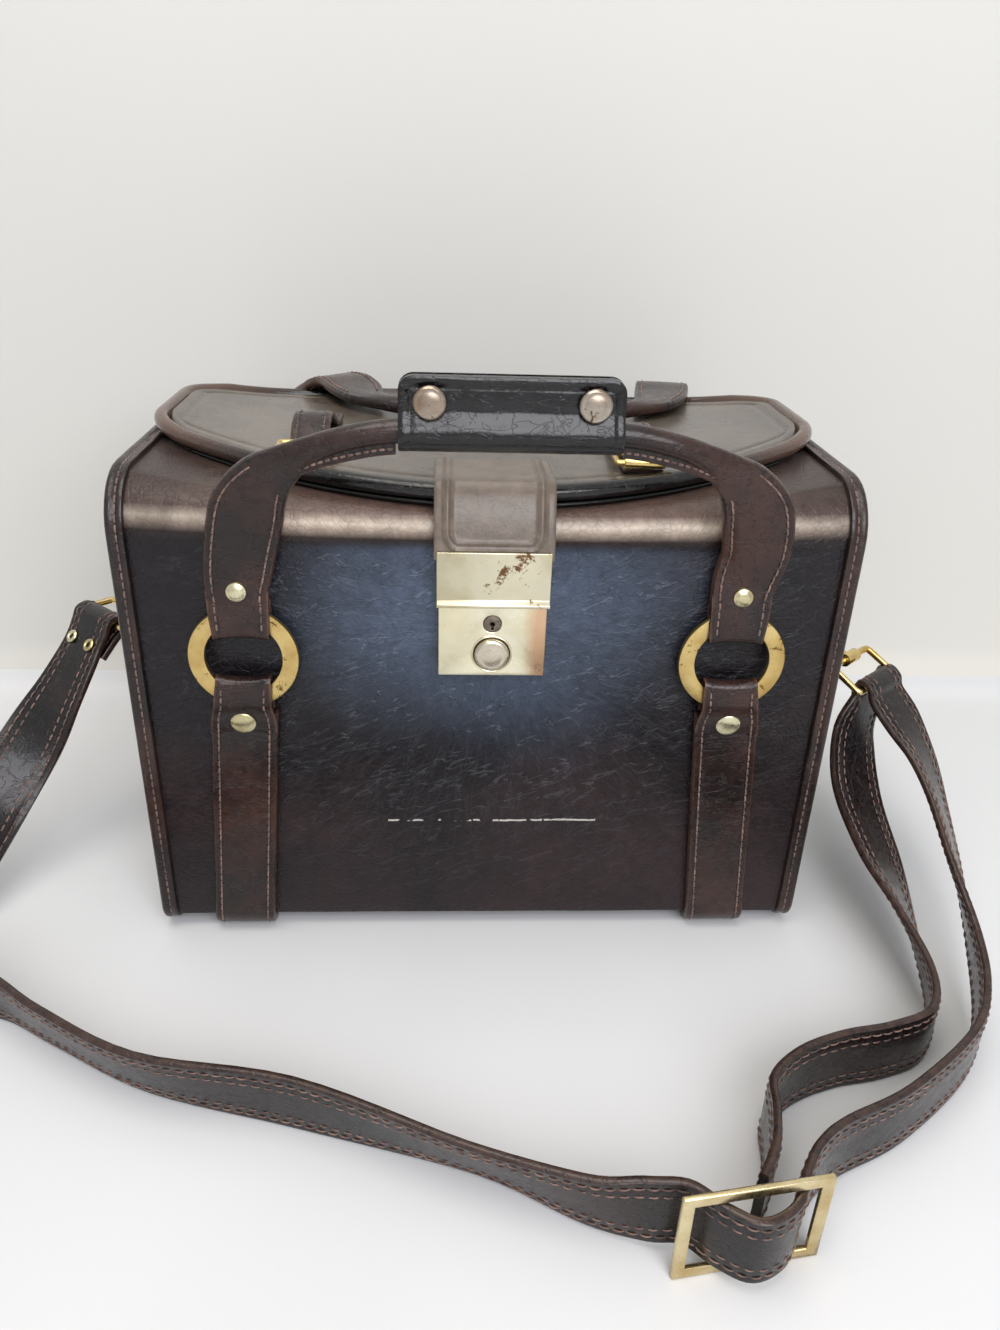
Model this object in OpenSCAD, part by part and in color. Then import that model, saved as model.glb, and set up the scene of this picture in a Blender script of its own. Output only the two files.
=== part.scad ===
// Leather-covered camera case with a padded hinged lid, twin handles and a shoulder strap.
// X runs to the right, Y to the back and Z up. The origin is the middle of the base's underside.

/* [Case] */
// Width over the two end panels
case_w = 272; // [240:1:300]
// Depth from front face to back face
case_d = 165; // [150:1:180]
// Height of the end panels
case_h = 196; // [180:1:215]
// Thickness of the covered board walls
wall = 3.5; // [2.5:0.5:5]
// Thickness of the end panels
end_t = 4; // [3:0.5:6]
// Radius of the end panels' upper corners
corner_top_r = 20; // [14:1:24]
// Radius of the end panels' lower corners
corner_low_r = 8; // [6:1:12]
// How far the front face swells in the middle
front_bulge = 6.5; // [2:0.5:7]
// How far the top bend stands out beyond the swollen face
bend_extra = 2.5; // [1:0.5:3]
// How far the back face swells in the middle
back_bulge = 3; // [0:0.5:5]
// How far the mouth dips in the middle below the end panels
mouth_dip = 7; // [3:0.5:9]
// Width of the sewn edge binding
binding_w = 6.5; // [5:0.5:9]
// How far the binding stands out beyond the faces
binding_t = 2.2; // [1.5:0.1:3]

/* [Lid] */
// Half the lid's length
lid_half = 137; // [120:1:150]
// How far the middle of the lid's front edge overhangs the front face
lid_over = 5; // [0:0.5:6]
// How far the front edge curves back from its middle to its corners
lid_arc = 55; // [40:1:60]
// Radius of the padded rim
rim_r = 3.2; // [2.5:0.1:4]
// Thickness of the lid panel
lid_t = 4; // [3:0.5:5]
// How much higher the front rim is at its corners than in its middle
rim_rise = 5.7; // [3:0.1:7]
// Length of the hinge strip
hinge_w = 130; // [100:1:135]

/* [Closure] */
// Width of the closure tab
tab_w = 43; // [36:0.5:50]
// Width of the lock case
lock_w = 39.5; // [34:0.5:44]
// Depth of the lock case's lower edge below the top of the end panels
lock_drop = 68; // [61:1:76]
// Height of the lock case
lock_h = 45; // [40:1:48]
// Depth of the lock case
lock_d = 6.4; // [5:0.1:8]
// Radius of the push button
button_r = 6.4; // [5:0.1:7]
// Travel of the push button
button_travel = 2; // [1:0.1:2.4]
// Radius of the key plug
plug_r = 3.2; // [2.5:0.1:4]

/* [Rings and straps] */
// Outer radius of the rings
ring_r = 20.5; // [18:0.5:24]
// Width of a ring's flat band
ring_band = 6.3; // [5:0.1:7]
// Thickness of a ring
ring_t = 2.6; // [2:0.1:3]
// Distance of the rings from the middle
ring_x = 92; // [85:1:100]
// Depth of the rings' centres below the top of the end panels
ring_drop = 64; // [56:1:71]
// Width of the base straps
strap_w = 25.4; // [20:0.1:30]
// Thickness of the base straps, which the case stands on
strap_t = 4.2; // [3:0.1:5]
// Distance of the base straps from the middle at the base
foot_x = 103.5; // [98:0.5:108]
// Width of the strap loops that hold the rings
loop_w = 22; // [18:0.5:25]

/* [Handles] */
// Radius of the rolled part of a handle
roll_r = 4; // [3:0.1:5]
// Thickness of a handle's flat ends
handle_t = 4; // [3:0.1:5]
// How far the front handle hangs over to the right
handle_shift = 3.5; // [0:0.5:5]
// How far the rear handle lies over to the right
rear_shift = 12; // [0:0.5:15]
// Width of the hand grip
grip_w = 72; // [60:1:90]
// Height of the hand grip
grip_h = 24.5; // [20:0.5:30]
// Thickness of the grip's leather
grip_t = 2; // [1.5:0.1:3]
// Radius of the grip's snap caps
cap_r = 5.4; // [4:0.1:6]

/* [Shoulder strap] */
// Width of the shoulder strap
sling_w = 28; // [22:1:32]
// Thickness of the shoulder strap
sling_t = 3; // [2:0.1:4]
// Height of the side posts above the base
post_z = 116; // [100:1:130]
// Radius of the side posts
post_r = 3; // [2.5:0.1:4]
// Radius of the strap loops' wire
wire_r = 1.6; // [1.2:0.1:2]
// Running clearance of a pin in its bore
run_gap = 0.05; // [0.02:0.01:0.1]

/* [Inside] */
// Thickness of the lining
lining_t = 1; // [0.8:0.1:1.5]
// Thickness of the base pad
pad_t = 6; // [4:0.5:10]
// Thickness of the dividers
divider_t = 6; // [4:0.5:8]
// Distance of the dividers from the middle
divider_x = 45; // [30:1:60]

/* [Hidden] */
$fn = 48;
gap = 0.3;
front = -case_d / 2;
back = case_d / 2;
half_w = case_w / 2;
inner_x = half_w - end_t;
floor_z = -strap_t - 0.2;
mouth_z = case_h - mouth_dip;
lock_z = case_h - lock_drop;
ring_z = case_h - ring_drop;

// Small functions for points and curves
function unit(v) = v / norm(v);
function mix(a, b, t) = a + (b - a) * t;
function curve_at(p, i, t) =
    let (n = len(p) - 1, a = p[max(i - 1, 0)], b = p[i], c = p[min(i + 1, n)], d = p[min(i + 2, n)])
    0.5 * (2 * b + (c - a) * t + (2 * a - 5 * b + 4 * c - d) * t * t + (3 * b - a - 3 * c + d) * t * t * t);
function smooth_path(p, steps) =
    concat([for (i = [0 : len(p) - 2]) for (k = [0 : steps - 1]) curve_at(p, i, k / steps)], [p[len(p) - 1]]);
function signed_volume(pts, faces) =
    let (parts = [for (f = faces) pts[f[0]] * cross(pts[f[1]], pts[f[2]])])
    parts * [for (p = parts) 1];
function reversed(v) = [for (i = [len(v) - 1 : -1 : 0]) v[i]];

// A solid through rings of points, with flat ends unless the rings close on themselves
module skin(rings, closed = false) {
    n = len(rings);
    m = len(rings[0]);
    pts = [for (r = rings) for (p = r) p];
    last = closed ? n - 1 : n - 2;
    walls = [for (i = [0 : last]) for (j = [0 : m - 1]) for (k = [0, 1])
        let (a = i * m + j, b = i * m + (j + 1) % m, next = ((i + 1) % n) * m, c = next + j, d = next + (j + 1) % m)
        k == 0 ? [a, b, d] : [a, d, c]];
    caps = closed ? [] : concat(
        [for (j = [1 : m - 2]) [0, j + 1, j]],
        [for (j = [1 : m - 2]) [(n - 1) * m, (n - 1) * m + j, (n - 1) * m + j + 1]]);
    faces = concat(walls, caps);
    polyhedron(pts, signed_volume(pts, faces) < 0 ? faces : [for (f = faces) reversed(f)]);
}
// Rings of a band along a path; ups gives the direction of its width and shape its corners
function band_rings(path, ups, w, t, shape) =
    [for (i = [0 : len(path) - 1])
        let (along = unit(path[min(i + 1, len(path) - 1)] - path[max(i - 1, 0)]),
            side = unit(ups[i] - along * (ups[i] * along)),
            out = cross(along, side))
        [for (c = shape) path[i] + side * c[0] * w / 2 + out * c[1] * t / 2]];
FLAT = [[-1, -0.5], [-0.9, -1], [0.9, -1], [1, -0.5], [1, 0.5], [0.9, 1], [-0.9, 1], [-1, 0.5]];
// A flat band through hand-chosen points, each with the direction of its width
module band(route, w, t, steps = 4) {
    path = smooth_path([for (r = route) r[0]], steps);
    ups = smooth_path([for (r = route) r[1]], steps);
    skin(band_rings(path, ups, w, t, FLAT));
}
module rod(a, b, r) {
    d = b - a;
    translate(a)
        rotate([0, acos(d[2] / norm(d)), atan2(d[1], d[0])])
            cylinder(h = norm(d), r = r);
}
module along_x(r, x0, x1) {
    translate([x0, 0, 0]) rotate([0, 90, 0]) cylinder(h = x1 - x0, r = r);
}
module along_y(r, y0, y1) {
    translate([0, y0, 0]) rotate([-90, 0, 0]) cylinder(h = y1 - y0, r = r);
}
// Carries a flat shape drawn in Y and Z out along X
module extrude_x(x0, x1) {
    translate([x0, 0, 0]) rotate([90, 0, 90]) linear_extrude(x1 - x0) children();
}
module both_sides() {
    children();
    mirror([1, 0, 0]) children();
}

// Outline of an end panel, grown by g all round
module case_profile(g = 0) {
    top_r = corner_top_r + g;
    low_r = corner_low_r + g;
    y = back + g;
    top = case_h + g;
    translate([-y, low_r - g]) square([2 * y, top - top_r - low_r + g]);
    translate([-y + top_r, top - top_r]) square([2 * (y - top_r), top_r]);
    translate([-y + low_r, -g]) square([2 * (y - low_r), low_r]);
    for (s = [-1, 1]) {
        translate([s * (y - top_r), top - top_r]) circle(top_r);
        translate([s * (y - low_r), low_r - g]) circle(low_r);
    }
}
// Front and rear edges of the lid in plan, measured back from the front face
function lid_front(x) = -lid_over + lid_arc * pow(x / 125, 2);
function lid_rear(x) = case_d - 5 - 30 * pow(abs(x) / 130, 6);
// Height of the middle of the padded rim along the front and the rear edge
hinge_z = mouth_z + rim_r + 1.4;
hinge_y = front + lid_rear(0) - rim_r;
function rim_front_z(x) = mouth_z + rim_r + 2.2 + rim_rise * pow(x / 125, 2);
function rim_rear_z(x) = hinge_z + 6 * pow(x / 120, 6);

// Outer line of the front or back wall at one place along the width, as [distance out, height]
function wall_line(u, swell, bend, edge, rise) =
    let (b = 1 - u * u, r = corner_top_r, c = corner_low_r, h = case_h, m = mouth_z,
        flat = [[-c, 0], [-c * 0.29, c * 0.29], [0, c], [0.4 * swell * b, 0.28 * h], [0.75 * swell * b, 0.49 * h],
            [0.95 * swell * b, 0.69 * h], [swell * b, h - r - 2]],
        mid = [[swell + bend * 0.7, m - 10], [swell + bend, m - 6], [swell + bend * 0.6, m - 3],
            [swell - 1, m - 1.2], [swell - 4.5, m - 0.4], [-edge, m]],
        end = [[0, h - r], [-r * 0.076, h - r * 0.617], [-r * 0.293, h - r * 0.293],
            [-r * 0.617, h - r * 0.076],
            [-r, h], [-edge, h]])
    concat(flat, [for (k = [0 : 5]) mix(mid[k], end[k], rise)]);
function inset_line(p, t) =
    [for (i = [0 : len(p) - 1])
        let (d = unit(p[min(i + 1, len(p) - 1)] - p[max(i - 1, 0)]),
            first = [p[0][0], p[0][1] + t],
            tip = [p[i][0], p[i][1] - t])
        i == 0 ? first : i == len(p) - 1 ? tip : [p[i][0] - d[1] * t, p[i][1] + d[0] * t]];
function wall_ring(x, side) =
    let (u = x / inner_x,
        edge = side < 0 ? lid_front(x) + 6 : case_d - lid_rear(x) + 6,
        rise = side < 0 ? u * u : pow(u, 6),
        swell = side < 0 ? front_bulge : back_bulge,
        bend = side < 0 ? bend_extra : -1,
        outer = wall_line(u, swell, bend, edge, rise))
    [for (p = concat(outer, reversed(inset_line(outer, wall)))) [x, side * (back + p[0]), p[1]]];
wall_steps = 16;
module case_wall(side) {
    skin([for (i = [0 : wall_steps]) wall_ring(mix(-inner_x, inner_x, i / wall_steps), side)]);
}
module base_panel() {
    color("#2a1c1a")
        translate([-inner_x, front + corner_low_r, 0])
            cube([2 * inner_x, case_d - 2 * corner_low_r, wall]);
}
module front_panel() { color("#2b1e1d") case_wall(-1); }
module back_panel() { color("#2b1e1d") case_wall(1); }
module end_panel() {
    color("#2e1f1c") extrude_x(inner_x, half_w) case_profile();
}
module right_end_panel() { end_panel(); }
module left_end_panel() { mirror([1, 0, 0]) end_panel(); }
module binding() {
    color("#3a2622") {
        extrude_x(inner_x, half_w) difference() {
            case_profile(binding_t);
            case_profile();
        }
        extrude_x(half_w, half_w + binding_w - end_t) difference() {
            case_profile(binding_t);
            case_profile(-5);
        }
    }
}
module right_binding() { binding(); }
module left_binding() { mirror([1, 0, 0]) binding(); }

// Sewn leather trim that stands up just inside the mouth's front and rear edges
module mouth_trim() {
    color("#1d1614") for (side = [-1, 1])
        skin([for (i = [2 : wall_steps - 2])
            let (x = mix(-inner_x, inner_x, i / wall_steps), u = x / inner_x,
                y = back - (side < 0 ? lid_front(x) : case_d - lid_rear(x)) - 6 - gap,
                z = mouth_z + mouth_dip * (side < 0 ? u * u : pow(u, 6)))
            [for (c = [[0, -7], [0, 1.4], [-1.8, 1.4], [-1.8, -7]]) [x, side * (y + c[0]), z + c[1]]]]);
}
lining_low = wall + pad_t + gap;
lining_high = case_h - corner_top_r - 4;
lining_gap = 1.1;
module lining() {
    color("#6e5a3c") translate([0, 0, lining_low]) difference() {
        x = inner_x - gap;
        y = back - wall - lining_gap;
        translate([-x, -y, 0]) cube([2 * x, 2 * y, lining_high - lining_low]);
        translate([-x + lining_t, -y + lining_t, -1])
            cube([2 * (x - lining_t), 2 * (y - lining_t), lining_high - lining_low + 2]);
    }
}
module base_pad() {
    y = back - corner_low_r - 1;
    color("#7a6644") translate([-inner_x + gap, -y, wall + 0.1]) cube([2 * (inner_x - gap), 2 * y, pad_t]);
}
divider_h = 135;
module divider() {
    y = back - wall - lining_gap - lining_t - gap;
    color("#8a7650") translate([divider_x - divider_t / 2, -y, lining_low]) cube([divider_t, 2 * y, divider_h]);
}
module right_divider() { divider(); }
module left_divider() { mirror([1, 0, 0]) divider(); }

// Base straps: up the front, under the base and up the back, leaning out towards the base
flex_z = ring_z - ring_r - 1.2;
lean = (foot_x - ring_x) / (ring_z + strap_t);
function strap_x(z) = foot_x - lean * (z + strap_t);
function swell_at(x, z, swell) =
    let (b = 1 - pow(x / inner_x, 2), h = case_h)
    swell * b * lookup(z, [[corner_low_r, 0], [0.28 * h, 0.4], [0.49 * h, 0.75], [0.69 * h, 0.95], [0.88 * h, 1]]);
function strap_off(z, side) =
    back + swell_at(strap_x(z) - strap_w / 2, z, side < 0 ? front_bulge : back_bulge) + 0.3;
function strap_side_points(side) =
    [for (z = [flex_z - 1.5, 85, 55, 30]) [strap_x(z), side * (strap_off(z, side) + strap_t / 2), z]];
function strap_corner_points(side) =
    let (r = corner_low_r + strap_t / 2 + 0.2)
    [for (a = [0 : 22.5 : 90])
        let (z = corner_low_r - r * sin(a))
        [strap_x(z), side * (back - corner_low_r + r * cos(a)), z]];
module base_strap() {
    path = concat(strap_side_points(-1), strap_corner_points(-1),
        reversed(concat(strap_side_points(1), strap_corner_points(1))));
    color("#4a2b22") skin(band_rings(path, [for (p = path) [1, 0, 0.001]], strap_w, strap_t, FLAT));
}
module right_base_strap() { base_strap(); }
module left_base_strap() { mirror([1, 0, 0]) base_strap(); }
rivet_r = 3.8;
rivet_z = flex_z - 6;
module rivet_head(r, h) {
    rotate([90, 0, 0]) {
        cylinder(h = h * 0.5, r = r);
        translate([0, 0, h * 0.5]) cylinder(h = h * 0.5, r1 = r, r2 = r * 0.6);
    }
}
module base_strap_rivets() {
    x = strap_x(rivet_z);
    color("#c9a85c") both_sides() for (side = [-1, 1])
        translate([x, side * (strap_off(rivet_z, side) + strap_t + gap), rivet_z])
            rotate([0, 0, side < 0 ? 0 : 180]) rivet_head(rivet_r, 1.8);
}

// Lock: a plate on the front face, a hollow case on it, button, latch and key plug in the case
plate_back = front - front_bulge - 0.1;
plate_t = 1;
lock_back = plate_back - plate_t;
lock_front = lock_back - lock_d;
skin_t = 1.2;
button_z = lock_z + 9;
plug_z = lock_z + 21;
staple_z = lock_z + 38;
staple_w = 7;
module lock_plate() {
    color("#b89a58") translate([-lock_w / 2, lock_back, lock_z]) cube([lock_w, plate_t, lock_h]);
}
module lock_case() {
    color("#cdb57a") difference() {
        translate([-lock_w / 2, lock_front, lock_z]) cube([lock_w, lock_d, lock_h]);
        translate([-lock_w / 2 + skin_t, lock_front + skin_t, lock_z + skin_t])
            cube([lock_w - 2 * skin_t, lock_d, lock_h - 2 * skin_t]);
        translate([0, 0, button_z]) along_y(button_r + 0.25, lock_front - 1, lock_back - 1);
        translate([0, 0, plug_z]) along_y(plug_r + run_gap, lock_front - 1, lock_back - 1);
        translate([-staple_w / 2 - 1, lock_front - 1, staple_z - 4]) cube([staple_w + 2, lock_d + 0.5, lock_h]);
    }
}
button_proud = 2.4;
flange_t = 0.8;
module lock_button() {
    color("#b9a37c") translate([0, 0, button_z]) {
        along_y(button_r, lock_front - button_proud, lock_front + skin_t + 0.2);
        along_y(button_r + 1, lock_front + skin_t + 0.2, lock_front + skin_t + 0.2 + flange_t);
        along_y(1.4, lock_front + skin_t + 0.2 + flange_t, lock_back - button_travel - 0.2);
    }
}
spring_turns = 3;
spring_wire = 0.45;
spring_steps = 12;
spring_r = 3.4;
module button_spring() {
    y0 = lock_front + skin_t + 0.2 + flange_t + spring_wire + 0.1;
    y1 = lock_back - spring_wire - 0.1;
    n = spring_turns * spring_steps;
    path = [for (i = [0 : n]) let (turn = i * 360 / spring_steps)
        [spring_r * cos(turn), mix(y0, y1, i / n), spring_r * sin(turn)]];
    ring = [for (a = [0 : 60 : 300]) [cos(a), sin(a)]];
    color("#8f8f8f") translate([0, 0, button_z])
        skin(band_rings(path, [for (p = path) [0, 1, 0]], 2 * spring_wire, 2 * spring_wire, ring));
}
latch_w = 9;
latch_y = lock_back - 2.2;
module lock_latch() {
    color("#9c9c98") {
        translate([-latch_w / 2 - 4.5, latch_y, plug_z + 5.5])
            cube([latch_w + 9, 1.2, staple_z - 3 - gap - plug_z - 5.5]);
        translate([-latch_w / 2, latch_y - 1, staple_z - 3 - gap - 2.5]) cube([latch_w, 1, 2.5]);
    }
}
module key_plug() {
    color("#b39b62") translate([0, 0, plug_z]) difference() {
        union() {
            along_y(plug_r, lock_front - 0.2, lock_back - 2.4);
            along_y(plug_r + 1, lock_front + skin_t + 0.15, lock_front + skin_t + 1);
        }
        along_y(0.9, lock_front - 1, lock_front + 2.6);
        translate([-0.4, lock_front - 1, -2.4]) cube([0.8, 3.6, 2.4]);
    }
}

// Side posts that the shoulder strap's lugs turn on
side_plate_t = 1.5;
plate_half = 13;
lug_x0 = half_w + side_plate_t + 0.2;
lug_t = 4;
head_t = 1.6;
module side_plate() {
    color("#b99a56") {
        extrude_x(half_w, half_w + side_plate_t) difference() {
            union() {
                translate([-8, post_z - plate_half]) square([16, 2 * plate_half]);
                for (s = [-1, 1]) translate([0, post_z + s * plate_half]) circle(8);
            }
            for (s = [-1, 1]) translate([0, post_z + s * 14]) circle(1.6);
        }
        translate([0, 0, post_z]) {
            along_x(post_r, half_w + side_plate_t - 0.1, lug_x0 + lug_t + 0.2);
            along_x(post_r + 1.4, lug_x0 + lug_t + 0.2, lug_x0 + lug_t + 0.2 + head_t);
        }
    }
}
module right_side_plate() { side_plate(); }
module left_side_plate() { mirror([1, 0, 0]) side_plate(); }
module side_rivets() {
    color("#d0b06a") both_sides() for (s = [-1, 1])
        translate([0, 0, post_z + s * 14]) {
            along_x(1.5, half_w + 0.05, half_w + side_plate_t);
            along_x(3, half_w + side_plate_t, half_w + side_plate_t + 1);
        }
}

// Hinge: a leather strip on the back, curled round the rear rim, and its other half on the lid
leaf_t = 1.2;
hinge_low = 150;
module hinge_leaf_body() {
    face = back + back_bulge + 0.1;
    curl = hinge_y + rim_r + gap;
    color("#35231f") extrude_x(-hinge_w / 2, hinge_w / 2)
        polygon([[face, hinge_low], [face, mouth_z - 1.8], [face - 0.7, mouth_z - 0.6], [face - 4.4, mouth_z + 0.15],
            [curl, mouth_z + 1.2], [curl, hinge_z], [curl + leaf_t, hinge_z], [curl + leaf_t, mouth_z + 2.2],
            [face - 4, mouth_z + 1.4], [face + 0.2, mouth_z + 0.4], [face + leaf_t, mouth_z - 1.5],
            [face + leaf_t, hinge_low]]);
}
module hinge_leaf_lid() {
    color("#35231f") extrude_x(-hinge_w / 2, hinge_w / 2)
        translate([hinge_y - 15, hinge_z + lid_t / 2 + 0.7]) square([11, leaf_t]);
}

// Lid: a curved panel inside a padded rim. Beyond corner_x its outline turns in one bend at each corner.
corner_x = 120;
end_lift = 3;
edge_steps = 20;
turn_s = 0.3;
function front_slope(x) = 2 * lid_arc * x / pow(125, 2);
function rear_slope(x) = 180 * pow(abs(x), 5) / pow(130, 6);
function bend_curve(a, b, c, t) = a * (1 - t) * (1 - t) + 2 * b * t * (1 - t) + c * t * t;
edge_front = lid_front(corner_x) + rim_r;
edge_rear = lid_rear(corner_x) - rim_r;
edge_deep = edge_rear - edge_front;
edge_long = lid_half - rim_r - corner_x;
function turn_front(t) =
    bend_curve(edge_front, edge_front + edge_long * front_slope(corner_x), edge_front + turn_s * edge_deep, t);
function turn_rear(t) =
    bend_curve(edge_rear, edge_rear - edge_long * rear_slope(corner_x), edge_rear - turn_s * edge_deep, t);
function lift_at(t) = end_lift * sin(90 * t);
function edge_z(s) = mix(rim_front_z(corner_x), rim_rear_z(corner_x), s);
turn_t = [0.12, 0.24, 0.36, 0.48, 0.6, 0.73, 0.87, 1];
function side_path(k) = concat(
    [for (t = turn_t) [k * (corner_x + edge_long * (2 * t - t * t)), front + turn_front(t), edge_z(0) + lift_at(t)]],
    [for (i = [1 : 2]) [k * (lid_half - rim_r), front + edge_front + edge_deep * (turn_s + i * (1 - 2 * turn_s) / 3),
        edge_z(0.5) + end_lift]],
    [for (t = reversed(turn_t)) [k * (corner_x + edge_long * (2 * t - t * t)), front + turn_rear(t),
        edge_z(1) + lift_at(t)]]);
function rim_path() = concat(
    [for (i = [0 : edge_steps]) let (x = mix(-corner_x, corner_x, i / edge_steps))
        [x, front + lid_front(x) + rim_r, rim_front_z(x)]],
    side_path(1),
    [for (i = [0 : edge_steps]) let (x = mix(corner_x, -corner_x, i / edge_steps))
        [x, front + lid_rear(x) - rim_r, rim_rear_z(x)]],
    reversed(side_path(-1)));
module lid_rim() {
    path = rim_path();
    n = len(path);
    color("#33221e") skin([for (i = [0 : n - 1])
        let (along = unit(path[(i + 1) % n] - path[(i + n - 1) % n]),
            out = unit(cross(along, [0, 0, 1])), up = cross(out, along))
        [for (a = [22.5 : 45 : 340]) path[i] + (out * cos(a) + up * sin(a)) * rim_r]], closed = true);
}
panel_gap = rim_r + 0.5;
panel_x = [-corner_x, -110, -95, -75, -50, -25, 0, 25, 50, 75, 95, 110, corner_x];
panel_t = [0.14, 0.28, 0.42, 0.56, 0.7, 0.84, 0.95];
panel_s = [0, 0.25, 0.5, 0.75, 1];
// One crosswise section of a sheet set in from the rim's middle line, as [x, front y, rear y, front z, rear z]
function sheet_section(x, inset) =
    [x, front + lid_front(x) + rim_r + inset * norm([1, front_slope(x)]),
        front + lid_rear(x) - rim_r - inset * norm([1, rear_slope(x)]), rim_front_z(x), rim_rear_z(x)];
function end_section(t, k, inset) =
    [k * (corner_x + (edge_long - inset) * (2 * t - t * t)),
        front + turn_front(t) + inset * norm([1, front_slope(corner_x)]) * (1 - t),
        front + turn_rear(t) - inset * norm([1, rear_slope(corner_x)]) * (1 - t),
        edge_z(0) + lift_at(t), edge_z(1) + lift_at(t)];
module lid_sheet(sections, top, low) {
    skin([for (q = sections)
        let (line = [for (s = panel_s) [q[0], mix(q[1], q[2], s), mix(q[3], q[4], s)]])
        concat([for (p = line) p + [0, 0, top]], reversed([for (p = line) p + [0, 0, low]]))]);
}
module lid_panel() {
    color("#2a1d1b") lid_sheet(concat(
        [for (t = reversed(panel_t)) end_section(t, -1, panel_gap)],
        [for (x = panel_x) sheet_section(x, panel_gap)],
        [for (t = panel_t) end_section(t, 1, panel_gap)]), lid_t / 2, -lid_t / 2);
}
module lid_lining() {
    color("#6e5a3c") lid_sheet([for (x = panel_x) sheet_section(x * 0.9, rim_r + 11)],
        -lid_t / 2 - 0.5, -lid_t / 2 - 1.4);
}
// Upright lip under the front rim
lip_t = 2.6;
module lid_lip() {
    color("#17110f") skin([for (i = [0 : edge_steps])
        let (x = mix(-116, 116, i / edge_steps), u = x / inner_x, y = front + lid_front(x) + 1.2,
            low = mouth_z + mouth_dip * u * u + 0.4, high = rim_front_z(x) - rim_r + 0.1)
        [for (c = [[0, low], [lip_t, low], [lip_t, high], [0, high - 0.1]]) [x, y + c[0], c[1]]]]);
}

// Closure tab: its root is sewn on the lid, and the tab swings on the fold round the front rim
tab_axis_y = front + lid_front(0) + rim_r;
tab_axis_z = rim_front_z(0);
tab_t = 2.4;
tab_in = rim_r + gap;
tab_fold = 25;
tab_bend_y = front - front_bulge - bend_extra - 0.5;
tab_low = lock_z + lock_h + 0.6;
hasp_top = tab_low + 3.4;
function fold_arc(r, a0, a1) =
    [for (i = [0 : 4]) let (a = mix(a0, a1, i / 4)) [tab_axis_y - r * cos(a), tab_axis_z + r * sin(a)]];
module tab_root() {
    color("#2c1d1a") extrude_x(-tab_w / 2, tab_w / 2)
        translate([tab_axis_y + 0.1, tab_axis_z + tab_in]) square([28, tab_t]);
}
module closure_tab() {
    color("#2c1d1a") extrude_x(-tab_w / 2, tab_w / 2)
        polygon(concat([[hasp_y + tab_t, tab_low], [tab_bend_y, tab_low + 7.4], [tab_bend_y, mouth_z - 3]],
            fold_arc(tab_in, 0, tab_fold), fold_arc(tab_in + tab_t, tab_fold, 0),
            [[tab_bend_y - tab_t, mouth_z - 2], [tab_bend_y - tab_t, tab_low + 7.4], [hasp_y, tab_low]]));
}
hasp_w = 41;
hasp_h = 20;
hasp_t = 1.2;
hasp_y = lock_front - 0.4;
module hasp_cover() {
    color("#cfb36e") {
        translate([-hasp_w / 2, hasp_y - hasp_t, hasp_top - hasp_h]) cube([hasp_w, hasp_t, hasp_h]);
        extrude_x(-hasp_w / 2, hasp_w / 2)
            polygon([[hasp_y - hasp_t, hasp_top - hasp_h], [hasp_y - hasp_t - 1.6, hasp_top - hasp_h - 0.6],
                [hasp_y - hasp_t - 1.6, hasp_top - hasp_h + 0.6], [hasp_y - hasp_t, hasp_top - hasp_h + 2]]);
        translate([-staple_w / 2, hasp_y, staple_z - 3]) difference() {
            cube([staple_w, 4.4, 6]);
            translate([-1, 1.6, 1.6]) cube([staple_w + 2, 1.6, 2.8]);
        }
    }
}

// Tripod straps on the lid, each with a roller buckle
left_strap_x = -70;
right_strap_x = 56;
lid_strap_w = 15;
lid_strap_t = 2;
lid_strap_l = 0.46 * case_d;
function lid_top(x, y) =
    let (s = (y - front - lid_front(x) - rim_r) / (lid_rear(x) - lid_front(x) - 2 * rim_r))
    mix(rim_front_z(x), rim_rear_z(x), s) + lid_t / 2;
// How far back along the strap, as a share of its length, and how high it lies over the lid there
lid_strap_rows = [[1, 0], [0.9, 0], [0.763, 1], [0.618, 5.5], [0.474, 9], [0.355, 7.5], [0.25, 2.6], [0.2, 2.6]];
module lid_strap(x, y) {
    lift = lid_strap_t / 2 + 0.45;
    color("#3b2620") {
        band([for (p = lid_strap_rows)
            let (q = y + p[0] * lid_strap_l) [[x, q, lid_top(x, q) + lift + p[1]], [1, 0, 0]]],
            lid_strap_w, lid_strap_t, 3);
        band([for (p = [12.4, 8, 4.5, 1]) [[x, y + p, lid_top(x, y + p) + 1.25], [1, 0, 0]]],
            lid_strap_w, 1.2, 2);
    }
}
buckle_half = 10;
buckle_len = 12;
buckle_r = 1.1;
left_buckle_y = front + 21;
right_buckle_y = front + 15;
function buckle_z(x, y) = lid_top(x, y) + 4.4;
module left_lid_strap() { lid_strap(left_strap_x, left_buckle_y); }
module right_lid_strap() { lid_strap(right_strap_x, right_buckle_y); }
module buckle_frame(x, y) {
    color("#c7a455") translate([x, y, buckle_z(x, y)]) {
        for (d = [0, buckle_len]) translate([0, d, 0]) along_x(buckle_r, -buckle_half, buckle_half);
        for (s = [-1, 1]) translate([s * buckle_half, 0, 0]) {
            along_y(buckle_r, 0, buckle_len);
            for (d = [0, buckle_len]) translate([0, d, 0]) sphere(buckle_r);
        }
    }
}
roller_half = 7.6;
module buckle_roller(x, y) {
    color("#e0c170") translate([x, y, buckle_z(x, y)]) difference() {
        along_x(2.1, -roller_half, roller_half);
        along_x(buckle_r + run_gap, -roller_half - 1, roller_half + 1);
    }
}
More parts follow.
